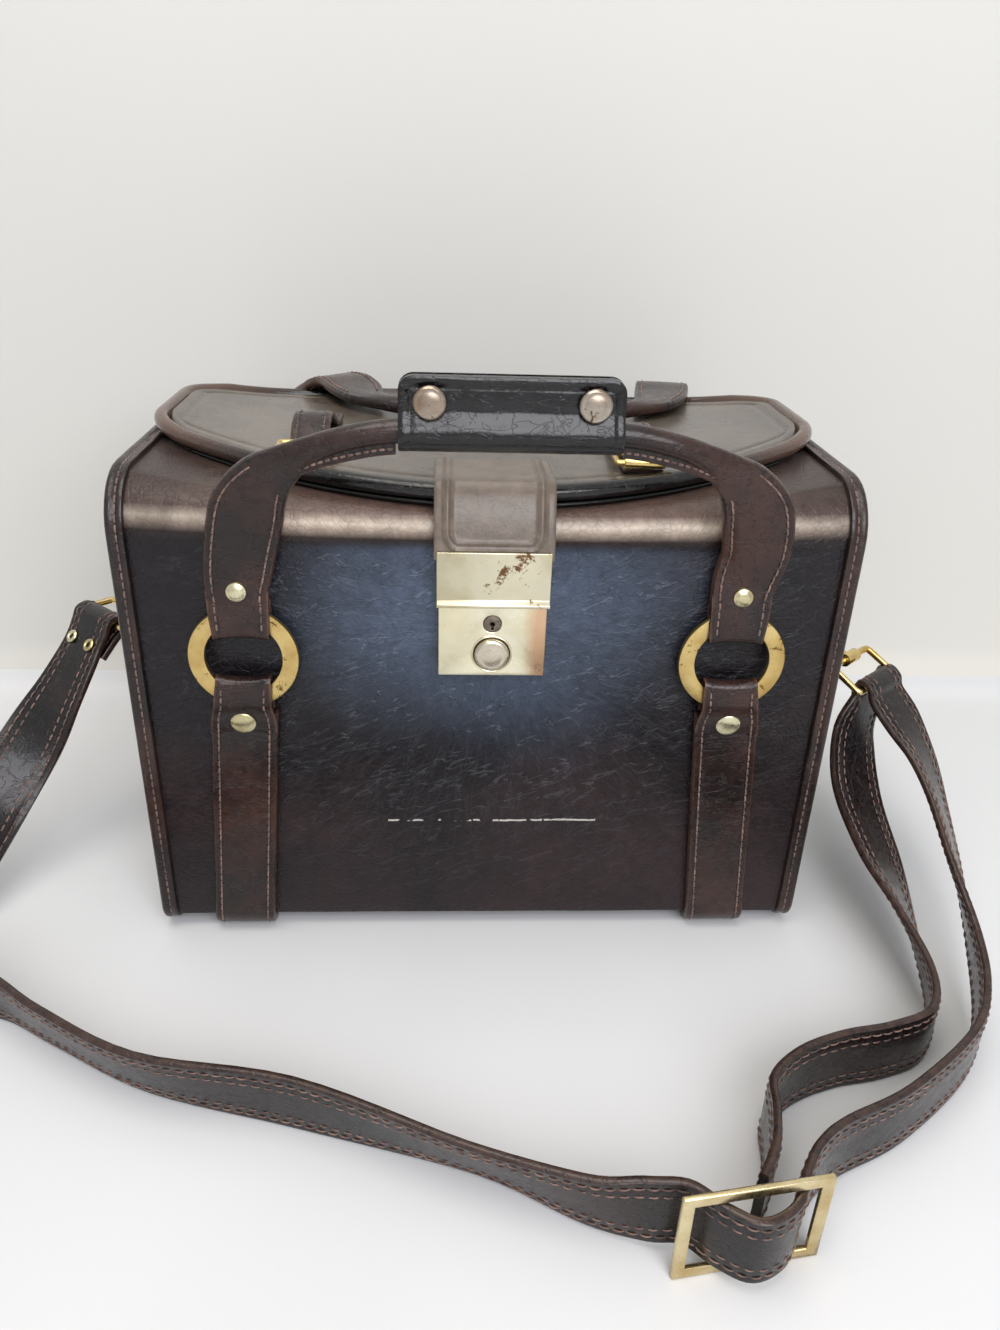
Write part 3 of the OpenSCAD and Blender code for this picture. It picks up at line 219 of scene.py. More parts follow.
def covering_cloth():
    """Polished leathercloth over board: near black, with a slate-blue painted reflection round the lock,
    faintly red-brown lower down, with a painted taupe highlight where it bends over at the mouth, and
    slanting creases round the lock with painted highlights along them"""
    made, tree, place = new_material("leathercloth_polished", Coat_Weight=0.14, Coat_Roughness=0.25,
                                     Specular_IOR_Level=0.25)
    x, y, z = add(tree, "SeparateXYZ", [place]).node.outputs
    front = add(tree, "Math", [y, 0.0], "LESS_THAN")
    blotch = add(tree, "TexNoise", {"Vector": place, "Scale": per(76.92), **COARSE})
    warmth = add(tree, "Math", [blotch, add(tree, "MapRange", [z, 0.12, 0.0, -0.1, 0.15])], "ADD")
    dye = add(tree, "MapRange", [warmth, 0.46, 0.72])
    colour = add(tree, "Mix", {0: dye, 6: "#130f12", 7: "#291c1d"}, data_type="RGBA")
    # Painted sheen round the lock, wider than it is high: a slate-blue painted reflection mixed into the base
    # colour
    high = add(tree, "Math", [add(tree, "Math", [z, SHEEN_Z], "SUBTRACT"), SHEEN_FLATTER], "MULTIPLY")
    far = add(tree, "VectorMath", [add(tree, "CombineXYZ", {0: x, 2: high})], "LENGTH")
    far = add(tree, "Math", [blotch, -0.06, far], "MULTIPLY_ADD")
    painted_sheen = add(tree, "MapRange", [far, 0.072, -0.03, 0, 0.85], **SOFT)
    painted_sheen_front = add(tree, "Math", [painted_sheen, front], "MULTIPLY")
    colour = add(tree, "Mix", {0: painted_sheen_front, 6: colour, 7: "#4e5b6f"}, data_type="RGBA")
    # Painted highlight along the bend at the mouth, fainter towards its ends
    bend = add(tree, "ValToRGB", [add(tree, "MapRange", [z, BEND_LOW, BEND_HIGH])], stops=BEND_HIGHLIGHT_STOPS)
    share = add(tree, "MapRange", [z, 0.1735, 0.1785], **SOFT)
    ends = add(tree, "MapRange", [add(tree, "Math", [x], "ABSOLUTE"), 0.088, 0.118, 1, 0.5])
    share = add(tree, "Math", [share, ends], "MULTIPLY")
    colour = add(tree, "Mix", {0: share, 6: colour, 7: bend}, data_type="RGBA")
    fine = add(tree, "TexNoise", {"Vector": place, "Scale": per(6.25), **FINE})
    # Short creases run out from the lower edge of the lock, in polar coordinates about it
    under = add(tree, "Math", [z, CREASE_Z], "SUBTRACT")
    reach = add(tree, "VectorMath", [add(tree, "CombineXYZ", {0: x, 2: under})], "LENGTH")
    polar = add(tree, "CombineXYZ", [add(tree, "Math", [under, x], "ARCTAN2"), reach])
    rays = creases(tree, add(tree, "Mapping", {"Vector": polar, "Scale": (11, 26, 1)}), 1.5, 0.03)
    inner = add(tree, "MapRange", [reach, 0.012, 0.03])
    outer = add(tree, "MapRange", [reach, 0.14, 0.06])
    zone = add(tree, "Math", [add(tree, "Math", [inner, outer], "MULTIPLY"), 0.4], "MULTIPLY")
    rays = add(tree, "Math", [rays, zone], "MULTIPLY")
    # Long creases slant up to the right, with a fine net of pores over all
    drawn = add(tree, "Mapping", {"Vector": place, "Rotation": (0, -0.44, 0), "Scale": (1, 1, 0.24)},
                vector_type="TEXTURE")
    near = add(tree, "MapRange", [reach, 0.15, 0.05, 0.06, 1])
    slant = add(tree, "Math", [creases(tree, drawn, per(38.46), 0.014, 0.15), near], "MULTIPLY")
    lines = add(tree, "Math", [rays, slant], "MAXIMUM")
    lines = add(tree, "Math", [lines, add(tree, "MapRange", [z, 0.178, 0.17])], "MULTIPLY")
    net = add(tree, "TexVoronoi", {"Vector": place, "Scale": per(3.03)}, feature="DISTANCE_TO_EDGE")
    net = add(tree, "MapRange", [net, 0.0, 0.16, 1, 0])
    marks = add(tree, "Math", [net, -0.3, lines], "MULTIPLY_ADD")
    # Crease lines painted paler and brighter: a painted highlight along the folds
    pale = add(tree, "Math", [lines, 0.17], "MULTIPLY")
    colour = add(tree, "Mix", {0: pale, 6: colour, 7: "#6b727d"}, data_type="RGBA")
    lit = add(tree, "Math", [marks, 0.25, fine], "MULTIPLY_ADD")
    tone = add(tree, "MapRange", [lit, 0.2, 0.9, 0.7, 1.7])
    colour = add(tree, "Mix", {0: 1.0, 6: colour, 7: tone}, data_type="RGBA", blend_type="MULTIPLY")
    # A long pale scratch low on the front, more broken towards its left end
    ragged = add(tree, "Math", [fine, 0.0016, z], "MULTIPLY_ADD")
    broken = add(tree, "TexNoise", {"Vector": place, "Scale": per(5.263), "Detail": 2})
    kept = add(tree, "Math", [x, 1.2, broken], "MULTIPLY_ADD")
    mark = add(tree, "Math", [x, SCRATCH_X, SCRATCH_HALF], "COMPARE")
    for part in (add(tree, "Math", [ragged, SCRATCH_Z, SCRATCH_THIN], "COMPARE"), front,
                 add(tree, "Math", [kept, 0.445], "GREATER_THAN")):
        mark = add(tree, "Math", [mark, part], "MULTIPLY")
    final = add(tree, "Mix", {0: mark, 6: colour, 7: "#bdb9b2"}, data_type="RGBA")
    gloss = add(tree, "MapRange", [fine, 0.3, 0.7, 0.28, 0.44])
    bump = add(tree, "Bump", {"Strength": 0.8, "Distance": 0.0005, "Height": marks})
    return connect(made, Base_Color=final, Roughness=gloss, Normal=bump)


def rim_cloth():
    """Padded rim: black and glossy, with a painted brown reflection at the two ends of the lid where it
    curves round
    """
    made = leather("leather_rim", "#0b090a", "#151111", "#7a6354", rough=(0.16, 0.28), patch=50, edge=False,
                   crease=0.25, coat=0.3, specular=0.4)
    tree = made.node_tree
    across = add(tree, "SeparateXYZ", [add(tree, "TexCoord", take="Object")])
    # Brown towards the ends: a painted reflection
    worn = add(tree, "MapRange", [add(tree, "Math", [across], "ABSOLUTE"), 0.086, 0.128, 0, 1])
    black = tree.nodes["Principled BSDF"].inputs["Base Color"].links[0].from_socket
    return connect(made, Base_Color=add(tree, "Mix", {0: worn, 6: black, 7: "#5b463b"}, data_type="RGBA"))


def plated(name, pale, gold, bare, worn=0.68, rough=(0.2, 0.38), spots=11.11, flush=None):
    """Metal plating, pale and gold in uneven patches, with brown spots where it has gone, coppery beyond a
    place
    """
    made, tree, place = new_material(name, Metallic=1.0)
    uneven = add(tree, "TexNoise", {"Vector": place, "Scale": per(22.22), **COARSE})
    tint = add(tree, "MapRange", [uneven, 0.4, 0.65])
    colour = add(tree, "Mix", {0: tint, 6: pale, 7: gold}, data_type="RGBA")
    if flush:
        ragged = add(tree, "Math", [uneven, 0.006, add(tree, "SeparateXYZ", [place])], "MULTIPLY_ADD")
        red = add(tree, "MapRange", [ragged, flush, flush + 0.005, 0, 0.75])
        colour = add(tree, "Mix", {0: red, 6: colour, 7: "#d3a27e"}, data_type="RGBA")
    speck = add(tree, "TexNoise", {"Vector": place, "Scale": per(spots), "Detail": 8, "Roughness": 0.75,
                                   "Distortion": 0.6})
    gone = add(tree, "MapRange", [speck, worn, worn + 0.03])
    final = add(tree, "Mix", {0: gone, 6: colour, 7: bare}, data_type="RGBA")
    hair = add(tree, "Mapping", {"Vector": place, "Rotation": (0.4, 0.9, 0.3), "Scale": (1, 9, 1)})
    lines = add(tree, "TexNoise", {"Vector": hair, "Scale": per(3.333), "Detail": 6, "Roughness": 0.7})
    gloss = add(tree, "MapRange", [lines, 0.3, 0.7, *rough])
    dull = add(tree, "Mix", {0: gone, 2: gloss, 3: 0.6})
    bump = add(tree, "Bump", {"Strength": 0.25, "Distance": 0.0001, "Height": lines})
    return connect(made, Base_Color=final, Roughness=dull, Normal=bump)


# A wave pattern repeats at this share of its scale
WAVE = 6.28


def woven(name, pale, deep, spacing):
    """Plain-woven cloth: threads over and under, drawn coarser than life so that they show"""
    made, tree, place = new_material(name, Roughness=0.9, Sheen_Weight=0.2)
    scale = per(spacing) / WAVE
    first, second, third = [add(tree, "TexWave", {"Vector": place, "Scale": scale, "Distortion": 0.4},
                                take="Fac", bands_direction=axis) for axis in "XYZ"]
    cloth = add(tree, "Math", [add(tree, "Math", [first, second], "ADD"), third], "ADD")
    blotch = add(tree, "TexNoise", {"Vector": place, "Scale": per(55.56), "Detail": 5})
    both = add(tree, "Math", [add(tree, "MapRange", [cloth, 0.8, 2.2]), blotch], "MULTIPLY")
    colour = add(tree, "Mix", {0: both, 6: deep, 7: pale}, data_type="RGBA")
    bump = add(tree, "Bump", {"Strength": 0.5, "Distance": 0.0002, "Height": cloth})
    return connect(made, Base_Color=colour, Normal=bump)


def spun(name, pale, deep):
    """Waxed sewing thread: twisted strands, dulled by dirt"""
    made, tree, place = new_material(name, Roughness=0.7, Sheen_Weight=0.2)
    dirt = add(tree, "TexNoise", {"Vector": place, "Scale": per(4.545), "Detail": 4})
    soiled = add(tree, "MapRange", [dirt, 0.35, 0.65])
    colour = add(tree, "Mix", {0: soiled, 6: deep, 7: pale}, data_type="RGBA")
    bump = add(tree, "Bump", {"Strength": 0.4, "Distance": 0.0002, "Height": dirt})
    return connect(made, Base_Color=colour, Normal=bump)


# Leathercloth of the walls: smooth, dark, glossy where it bends
covering = covering_cloth()
# Lid cover: the same cloth, painted taupe on top as a painted reflection of the bright room above
lid_cover_painted_sheen = leather("leathercloth_lid", "#4d453c", "#655b50", "#8b7c6d", rough=(0.26, 0.4), patch=111.1,
                    edge=False, crease=0.3, coat=0.4, specular=0.5)
# Bindings and hinge: rounded dark brown leather
edging = leather("leather_edging", "#1d1312", "#38261f", "#6f594b", rough=(0.26, 0.4), patch=41.67,
                 edge=False, crease=0.4)
rim_leather = rim_cloth()
# Sewn straps and handles: red-brown leather with burnished edges
strap_leather = leather("leather_strap", "#1c1110", "#3a231c", "#66493b", sewn=1, patch=41.67)
# Shoulder strap: the same leather with two rows of sewing on each side
sling_leather = leather("leather_shoulder_strap", "#0f0b0d", "#231615", "#513a30", sewn=2, pitch=4.4,
                        seam=SLING_SEAMS[0], patch=62.5)
# Hand grip: black leather, polished by the hand
grip_leather = leather("leather_grip", "#0a080a", "#141012", "#4a3a33", rough=(0.16, 0.28), pore=1.429,
                       edge=False, crease=0.3, coat=0.3, specular=0.35, film=0.22)
# Closure tab: brown leathercloth, painted lighter taupe all over as a painted reflection of the room
tab_leather = leather("leather_tab", "#685c51", "#7f7265", "#9a8c7d", rough=(0.36, 0.46),
                      edge=False, crease=0.1, coat=0.3, specular=0.5, film=0.34)
# Lip under the lid's edge: black plastic strip
lip_plastic = leather("plastic_lip", "#050404", "#0a0808", "#2a2422", rough=(0.3, 0.4), edge=False,
                      crease=0.1, coat=0)
# Lock: pale cream brass plating with brown spots, coppery along one side
lock_brass = plated("brass_lock_plated", "#ece7cf", "#e0d6b2", "#5f4228", worn=0.64, rough=(0.24, 0.38),
                    spots=16.67, flush=0.0145)
# Hasp: the same plating, duller, with larger worn patches
hasp_brass = plated("brass_hasp_plated", "#d0c9b0", "#bdb290", "#6b4e35", worn=0.615,
                    rough=(0.26, 0.4), spots=19.23)
# Rings: yellower brass with many small spots
ring_brass = plated("brass_ring", "#dcc385", "#b8985a", "#6e5426", worn=0.6, rough=(0.24, 0.4), spots=5.882)
# Buckles, wire loops and plates: bright brass
bright_brass = plated("brass_bright", "#ead296", "#cfae62", "#7a5c2c", worn=0.72, rough=(0.16, 0.3))
# Slide buckle: brass gone pale
slide_brass = plated("brass_slide", "#e2d4ab", "#c3ad7c", "#7b6440", worn=0.7, rough=(0.22, 0.36))
# Rivets and eyelets: pale brass, slightly green
rivet_brass = plated("brass_rivet", "#d8d2b0", "#b3a26c", "#6d5c3c", worn=0.64, rough=(0.2, 0.34),
                     spots=6.667)
# Button and snap caps: nickel gone pale brown
cap_nickel = plated("nickel_worn", "#a89e92", "#8a7059", "#5f4636", worn=0.62, rough=(0.2, 0.34), spots=8.333)
# Lock button: the same, cleaner
button_nickel = plated("nickel_button", "#cbc2b0", "#ada18a", "#6b5540", worn=0.64,
                       rough=(0.22, 0.36), spots=8.333)
# Key plug: darkened nickel
plug_nickel = plated("nickel_dark", "#8b8174", "#5f5349", "#2c2420", worn=0.55, rough=(0.28, 0.42), spots=5)
# Spring and latch: plain steel
steel = plated("steel_plain", "#b9bab8", "#a2a3a2", "#6d665c", worn=0.75, rough=(0.28, 0.42))
# Lining: tan woven cloth; pads the same, paler
lining_cloth = woven("cloth_lining", "#8d7752", "#5d4a2f", 1.2)
pad_cloth = woven("cloth_pad", "#a08a62", "#6d5939", 1.2)
# Sewing thread: tan, pinkish where it is clean
thread_tan = spun("thread_tan", "#8b6e61", "#4e3830")
thread_brown = spun("thread_brown", "#7d655b", "#463230")


# Shapes
def mix(a, b, t):
    return a + (b - a) * t


def spread(low, high, parts):
    """Numbers from low to high at equal distances"""
    return [mix(low, high, k / parts) for k in range(parts + 1)]


def part_of(value):
    """A value held between 0 and 1"""
    return min(1, max(0, value))


def ridge(distance, middle, width):
    """How near a distance is to a line: 1 on it, falling off to both sides"""
    return math.exp(-((distance - middle) / width) ** 2)


def smooth_path(points, steps):
    """A smooth curve through rows of numbers, which it passes through"""
    last = len(points) - 1
    made = []
    for i in range(last):
        rows = list(zip(points[max(i - 1, 0)], points[i], points[i + 1], points[min(i + 2, last)]))
        made += [tuple(0.5 * (2 * b + (c - a) * t + (2 * a - 5 * b + 4 * c - d) * t * t
                              + (3 * b - a - 3 * c + d) * t ** 3) for a, b, c, d in rows)
                 for t in [k / steps for k in range(steps)]]
    return made + [tuple(points[last])]


def heading(points, i, closed=False):
    """The direction of a path at one of its points"""
    if closed:
        return (points[(i + 1) % len(points)] - points[i - 1]).normalized()
    return (points[min(i + 1, len(points) - 1)] - points[max(i - 1, 0)]).normalized()


def distances(points):
    """How far along a path each of its points is"""
    made = [0]
    for a, b in zip(points, points[1:]):
        made.append(made[-1] + (b - a).length)
    return made


def arc(radius, degrees, y=0, z=0, flat=1):
    """Points on a circle, or on a flattened one"""
    return [(y + radius * math.cos(math.radians(a)), z + radius * math.sin(math.radians(a)) * flat)
            for a in degrees]


def circle(centre, across, over, radius, sides):
    """Points round a place, in the plane of two directions"""
    angles = [2 * math.pi * k / sides for k in range(sides)]
    return [centre + (across * math.cos(a) + over * math.sin(a)) * radius for a in angles]


def pick(piece):
    """Makes a piece the only selected one and the active one"""
    bpy.ops.object.select_all(action="DESELECT")
    piece.select_set(True)
    bpy.context.view_layer.objects.active = piece


# Points nearer than this, in metres, are one
SAME_PLACE = 1e-6


def mend(step):
    """Merges the active piece's doubled points, takes one more step and turns its faces outwards"""
    bpy.ops.object.mode_set(mode="EDIT")
    bpy.ops.mesh.select_all(action="SELECT")
    bpy.ops.mesh.remove_doubles(threshold=SAME_PLACE)
    step()
    bpy.ops.mesh.normals_make_consistent(inside=False)
    bpy.ops.object.mode_set(mode="OBJECT")


def skin(name, rings, mark=lambda i, j: (i, j), closed=False):
    """A closed surface through rings of points in mm; mark(i, j) gives each point's UV"""
    turns = len(rings) if closed else len(rings) - 1
    sides = len(rings[0])
    bpy.ops.mesh.primitive_grid_add(x_subdivisions=turns, y_subdivisions=sides, size=1)
    piece = bpy.context.object
    piece.name = name
    mesh = piece.data
    cells = [(round((v.co.x + 0.5) * turns), round((v.co.y + 0.5) * sides)) for v in mesh.vertices]
    mesh.vertices.foreach_set("co", [c * MM for i, j in cells for c in rings[i % len(rings)][j % sides]])
    spots = [c for loop in mesh.loops for c in mark(*cells[loop.vertex_index])]
    mesh.uv_layers.active.data.foreach_set("uv", spots)
    mend(lambda: bpy.ops.mesh.fill_holes(sides=0))
    return piece


def join(name, pieces):
    """One piece from several, with one name"""
    bpy.ops.object.select_all(action="DESELECT")
    for piece in pieces:
        piece.select_set(True)
    bpy.context.view_layer.objects.active = pieces[0]
    if len(pieces) > 1:
        bpy.ops.object.join()
    pieces[0].name = name
    return pieces[0]


SMOOTH_BELOW, ROUND_ABOVE, FLAT_BELOW = [math.radians(a) for a in (40, 30, 0.5)]


def finish(piece, material, body, slot, *nodes):
    """Gives a piece its material and smooth shading and attaches it to the body that it rides on; a piece
    given two bodies stays unattached where it is
    """
    piece.data.materials.clear()
    piece.data.materials.append(material)
    pick(piece)
    bpy.ops.object.shade_smooth_by_angle(angle=SMOOTH_BELOW)
    bpy.ops.object.select_all(action="DESELECT")
    if isinstance(body, tuple):
        Vector(body[2]) * MM
        Vector(body[3]) * MM
        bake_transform(piece)
    else:
        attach(piece, body)
    if nodes:
        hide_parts(*nodes)


def refined(node, width, steps):
    """A copy of a CAD solid with its facets merged and its edges rounded"""
    piece = bpy.data.objects.new(node + "_finished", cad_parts[node].data.copy())
    bpy.context.collection.objects.link(piece)
    pick(piece)
    bpy.ops.mesh.customdata_custom_splitnormals_clear()
    mend(lambda: bpy.ops.mesh.dissolve_limited(angle_limit=FLAT_BELOW))
    round_edges = piece.modifiers.new("round_edges", "BEVEL")
    round_edges.width = width * MM
    round_edges.segments = steps
    round_edges.limit_method = "ANGLE"
    round_edges.angle_limit = ROUND_ABOVE
    bpy.ops.object.modifier_apply(modifier="round_edges")
    return piece


def turned(name, profile, centre, axis, sides):
    """A round piece from a profile of (distance along the axis, radius)"""
    ahead = Vector(axis).normalized()
    across = ahead.orthogonal().normalized()
    rings = [circle(Vector(centre) + ahead * d, across, ahead.cross(across), r, sides) for d, r in profile]
    return skin(name, rings, lambda i, j: (profile[i][0], j))


def tube(name, path, radius, sides, closed=False):
    """A round wire along a path of points"""
    path = [Vector(p) for p in path]
    rings = []
    for i, point in enumerate(path):
        along = heading(path, i, closed)
        if i == 0:
            across = along.orthogonal().normalized()
        across = (across - along * across.dot(along)).normalized()
        rings.append(circle(point, across, along.cross(across), radius, sides))
    return skin(name, rings, closed=closed)


# Straps: a spine is a list of places, each with its width's direction, its face's direction, width, thickness
# and how far it has rolled up into a round
def spine_of(route, steps, width, thick):
    """A flat strap's spine from a rough route of (place, direction of the width)"""
    fine = smooth_path([tuple(p) + tuple(w) for p, w in route], steps)
    points = [Vector(f[:3]) for f in fine]
    made = []
    for i, f in enumerate(fine):
        along = heading(points, i)
        up = Vector(f[3:])
        side = (up - along * up.dot(along)).normalized()
        made.append((points[i], side, along.cross(side), width, thick, 0))
    return made


# Where a strap is fully rolled, all of it counts as this far from its edge
ROLLED_INSET = 9


def strap_section(width, thick, roll, margin, groove):
    """Points round a strap as (across, height, distance from the edge), sunk along the sewing lines"""
    half, deep = width / 2, thick / 2
    steps = [(0.05, 0.55 * deep), (0.6, 0.95 * deep), (margin - 1, deep), (margin, deep - groove),
             (margin + 1, deep), (margin + 3, deep + 0.08)]
    line = [(-half, 0, 0)] + [(-half + i, h, i) for i, h in steps] + [(0, deep + 0.12, half)]
    line += [(half - i, h, i) for i, h in reversed(steps)]
    ring = line + [(-a, -b, i) for a, b, i in line]
    made = []
    for q, (a, b, i) in enumerate(ring):
        turn = math.pi - 2 * math.pi * q / len(ring)
        made.append((mix(a, math.cos(turn) * half, roll), mix(b, math.sin(turn) * deep, roll),
                     mix(i, ROLLED_INSET, roll)))
    return made


def strap(name, spine, margin=SEAM, groove=0.3):
    """A flat or rolled strap along a spine, with a groove for the sewing"""
    sections = [strap_section(width, thick, roll, margin, groove) for *_, width, thick, roll in spine]
    rings = [[at + side * a + out * b for a, b, i in section]
             for (at, side, out, *_), section in zip(spine, sections)]
    lengths = distances([row[0] for row in spine])
    return skin(name, rings, lambda i, j: (lengths[i], sections[i][j % len(rings[0])][2]))


def sewing_line(spine, inset, side, face):
    """Where the stitches lie along a strap's edge, as far as it is flat"""
    return [(at + across * side * (width / 2 - inset) + out * face * (thick / 2 - 0.12), out * face)
            for at, across, out, width, thick, roll in spine if roll < 0.25]


def evenly(line, step):
    """Places at equal distances along a line of (point, direction)"""
    made = []
    left = 0
    for (a, m), (b, n) in zip(line, line[1:]):
        length = (b - a).length
        while left < length:
            made.append((a.lerp(b, left / length), m.lerp(n, left / length).normalized()))
            left += step
        left -= length
    return made


# One stitch: how high the thread lies at each quarter, and the corners of its section
STITCH_HEIGHTS = (-0.5, 0.1, 0.26, 0.1)
STITCH_CORNERS = (0.3, 1.57, 2.84, 4.71)


def thread(name, lines, pitch=3.4, radius=0.36):
    """Rows of stitches: the thread comes up between the holes and dips into them"""
    made = []
    for line in lines:
        path = evenly(line, pitch / 4)
        points = [point for point, out in path]
        rings = []
        for i, (point, out) in enumerate(path):
            side = heading(points, i).cross(out)
            centre = point + out * STITCH_HEIGHTS[i % 4]
            rings.append([centre + (side * math.cos(a) + out * math.sin(a)) * radius for a in STITCH_CORNERS])
        made.append(skin(name, rings, lambda i, j: (i * pitch / 4, j)))
    return join(name, made)


# Forms of the case and its lid. The lid's front edge is a parabola, its rear edge is flatter, and both turn
# into the ends beyond TURN_X
LID_LEAD, LID_BOW, LID_HALF = -5, 55, 125
LID_DEEP, LID_TAPER, LID_REACH = 160, 30, 130
TURN_X, TURN_RISE = 120, 3
RIM_FRONT_Z = MOUTH_Z + RIM_R + 2.2
HINGE_Z = MOUTH_Z + RIM_R + 1.4


def lid_front(x):
    return LID_LEAD + LID_BOW * (x / LID_HALF) ** 2


def front_slope(x):
    return 2 * LID_BOW * x / LID_HALF ** 2


def lid_rear(x):
    return LID_DEEP - LID_TAPER * (abs(x) / LID_REACH) ** 6


def rear_slope(x):
    return 6 * LID_TAPER * abs(x) ** 5 / LID_REACH ** 6


def rim_front_z(x):
    return RIM_FRONT_Z + 5.7 * (x / LID_HALF) ** 2


def rim_rear_z(x):
    return HINGE_Z + 6 * (x / TURN_X) ** 6


HINGE_Y = FRONT + lid_rear(0) - RIM_R


# How far a wall has swollen, as a share, and how high up that is, as a share of the case's height
WALL_SWELL = [(0.4, 0.28), (0.75, 0.49), (0.95, 0.69), (0.97, 0.77), (0.99, 0.83), (0.995, 0.862)]


def wall_line(u, swell, bend, edge, rise):
    """Outer line of a wall as (out, height): flat at its foot, swollen higher up, bent over at the mouth"""
    b, r, c, h, m = 1 - u * u, TOP_R, LOW_R, CASE_H, MOUTH_Z
    flat = [(-c, 0), (-c * 0.29, c * 0.29), (0, c)]
    flat += [(share * swell * b, high * h) for share, high in WALL_SWELL] + [(swell * b, h - r - 2)]
    mid = [(swell + bend * 0.7, m - 10), (swell + bend, m - 6), (swell + bend * 0.6, m - 3),
           (swell - 1, m - 1.2), (swell - 4.5, m - 0.4), (-edge, m)]
    end = [(0, h - r), (-r * 0.076, h - r * 0.617), (-r * 0.293, h - r * 0.293), (-r * 0.617, h - r * 0.076),
           (-r, h), (-edge, h)]
    return flat + [(mix(a, c, rise), mix(b, d, rise)) for (a, b), (c, d) in zip(mid, end)]


def swell_at(x, z, swell):
    """How far a wall has swollen at a place"""
    steps = [(LOW_R, 0)] + [(high * CASE_H, part) for part, high in WALL_SWELL[:3] + [(1, 0.88)]]
    share = steps[-1][1]
    if z <= steps[0][0]:
        share = 0
    for (z0, a), (z1, b) in zip(steps, steps[1:]):
        if z0 < z <= z1:
            share = mix(a, b, (z - z0) / (z1 - z0))
    return swell * (1 - (x / INNER_X) ** 2) * share


def wall_panel(name, side):
    """Front or back wall: board wrapped in leathercloth that swells and bends over at the mouth"""
    rings = []
    for x in spread(-INNER_X, INNER_X, 56):
        u = x / INNER_X
        edge = lid_front(x) + 6 if side < 0 else CASE_D - lid_rear(x) + 6
        rise = u * u if side < 0 else u ** 6
        swell, bend = (FRONT_SWELL, FRONT_BEND) if side < 0 else (BACK_SWELL, -1)
        outer = smooth_path(wall_line(u, swell, bend, edge, rise), 5)
        line = [Vector(p) for p in outer]
        inner = []
        for i, (o, z) in enumerate(outer):
            d = heading(line, i)
            inner.append((o - d.y * WALL, z + d.x * WALL))
        inner[0] = (outer[0][0], outer[0][1] + WALL)
        inner[-1] = (outer[-1][0], outer[-1][1] - WALL)
        for i, (o, z) in enumerate(outer[6:-3]):
            dip = 0.5 * (noise.noise(Vector((x / 34, z / 30, side))) + 1) * 0.5 * min(1, (1 - u * u) * 3)
            outer[i + 6] = (o - dip, z)
        ring = outer + inner[::-1]
        rings.append([(x, side * (BACK + o), z) for o, z in ring])
    return skin(name, rings, lambda i, j: (rings[i][0][0], rings[-1][j % len(rings[-1])][2]))


def end_outline():
    """Round the end panel: (y, z) with the direction outwards, at about every 5 mm"""
    corners = [(BACK - LOW_R, LOW_R, LOW_R, -90), (BACK - TOP_R, CASE_H - TOP_R, TOP_R, 0),
               (-BACK + TOP_R, CASE_H - TOP_R, TOP_R, 90), (-BACK + LOW_R, LOW_R, LOW_R, 180)]
    made = []
    for y, z, r, start in corners:
        made += [(y + r * c, z + r * s, c, s) for c, s in arc(1, [start + 90 * k / 8 for k in range(9)])]
    full = []
    for here, there in zip(made, made[1:] + made[:1]):
        parts = max(1, round(math.hypot(there[0] - here[0], there[1] - here[1]) / 5))
        full += [tuple(mix(a, b, k / parts) for a, b in zip(here, there)) for k in range(parts)]
    return full


# Section of a binding: across the case, and out from the panel's edge. Its sewing lies in the two dents
BINDING = [(131.95, 0.1), (131.8, 1.1), (132.2, 1.9), (133.0, 2.15), (133.8, 1.95), (134.7, 1.55),
           (135.6, 1.95), (136.6, 2.4), (137.7, 2.2), (138.4, 1.4), (138.6, 0.2), (138.5, -1.8),
           (138.1, -3.0), (138.4, -4.0), (137.9, -5.0), (137.0, -5.3), (136.05, -5.2), (136.05, -0.05)]


def binding(name, k):
    """Leather binding round an end panel, slightly wavy"""
    outline = end_outline()
    rings = []
    for i, (y, z, ny, nz) in enumerate(outline):
        wave = 0.12 * noise.noise(Vector((y / 9, z / 9, k)))
        rings.append([(k * x, y + ny * (o + wave), z + nz * (o + wave)) for x, o in BINDING])
    return skin(name, rings, lambda i, j: (i * 5, j), closed=True)


def binding_sewing(name, k):
    """Two rows of stitches along a binding, on its outer edge and on its side"""
    outline = end_outline()
    rows = []
    for x, o in (BINDING[5], BINDING[12]):
        rows.append([(Vector((k * x, y + ny * o, z + nz * o)),
                      Vector((0, ny, nz)).normalized() if o > 0 else Vector((k, 0, 0)))
                     for y, z, ny, nz in outline + outline[:2]])
    return thread(name, rows, pitch=3.6, radius=0.38)


# Base straps: they come in a little towards the rings
FOOT_X = 103.5


def strap_x(z):
    return FOOT_X - (FOOT_X - RING_X) / (RING_Z + STRAP_T) * (z + STRAP_T)


def strap_off(z, side):
    """How far from the middle the wall is under a base strap"""
    return BACK + swell_at(strap_x(z) - STRAP_W / 2, z, FRONT_SWELL if side < 0 else BACK_SWELL) + 0.3


def base_strap_spine(k):
    """From ring to ring under the case, close along both walls and the base"""
    r = LOW_R + STRAP_T / 2 + 0.2

    def half(side):
        top = [FLEX_Z - 1.5, 102, 93, 84, 74, 64, 54, 44, 34, 24, 16, 10]
        made = [(k * strap_x(z), side * (strap_off(z, side) + STRAP_T / 2), z) for z in top]
        for q in range(7):
            z = LOW_R - r * math.sin(math.radians(15 * q))
            made.append((k * strap_x(z), side * (BACK - LOW_R + r * math.cos(math.radians(15 * q))), z))
        made += [(k * strap_x(LOW_R - r), side * (BACK - LOW_R - d), LOW_R - r) for d in (3, 8, 18, 36, 60)]
        return made

    path = half(-1) + half(1)[::-1]
    return spine_of([(p, (1, 0, 0)) for p in path], 3, STRAP_W, STRAP_T)


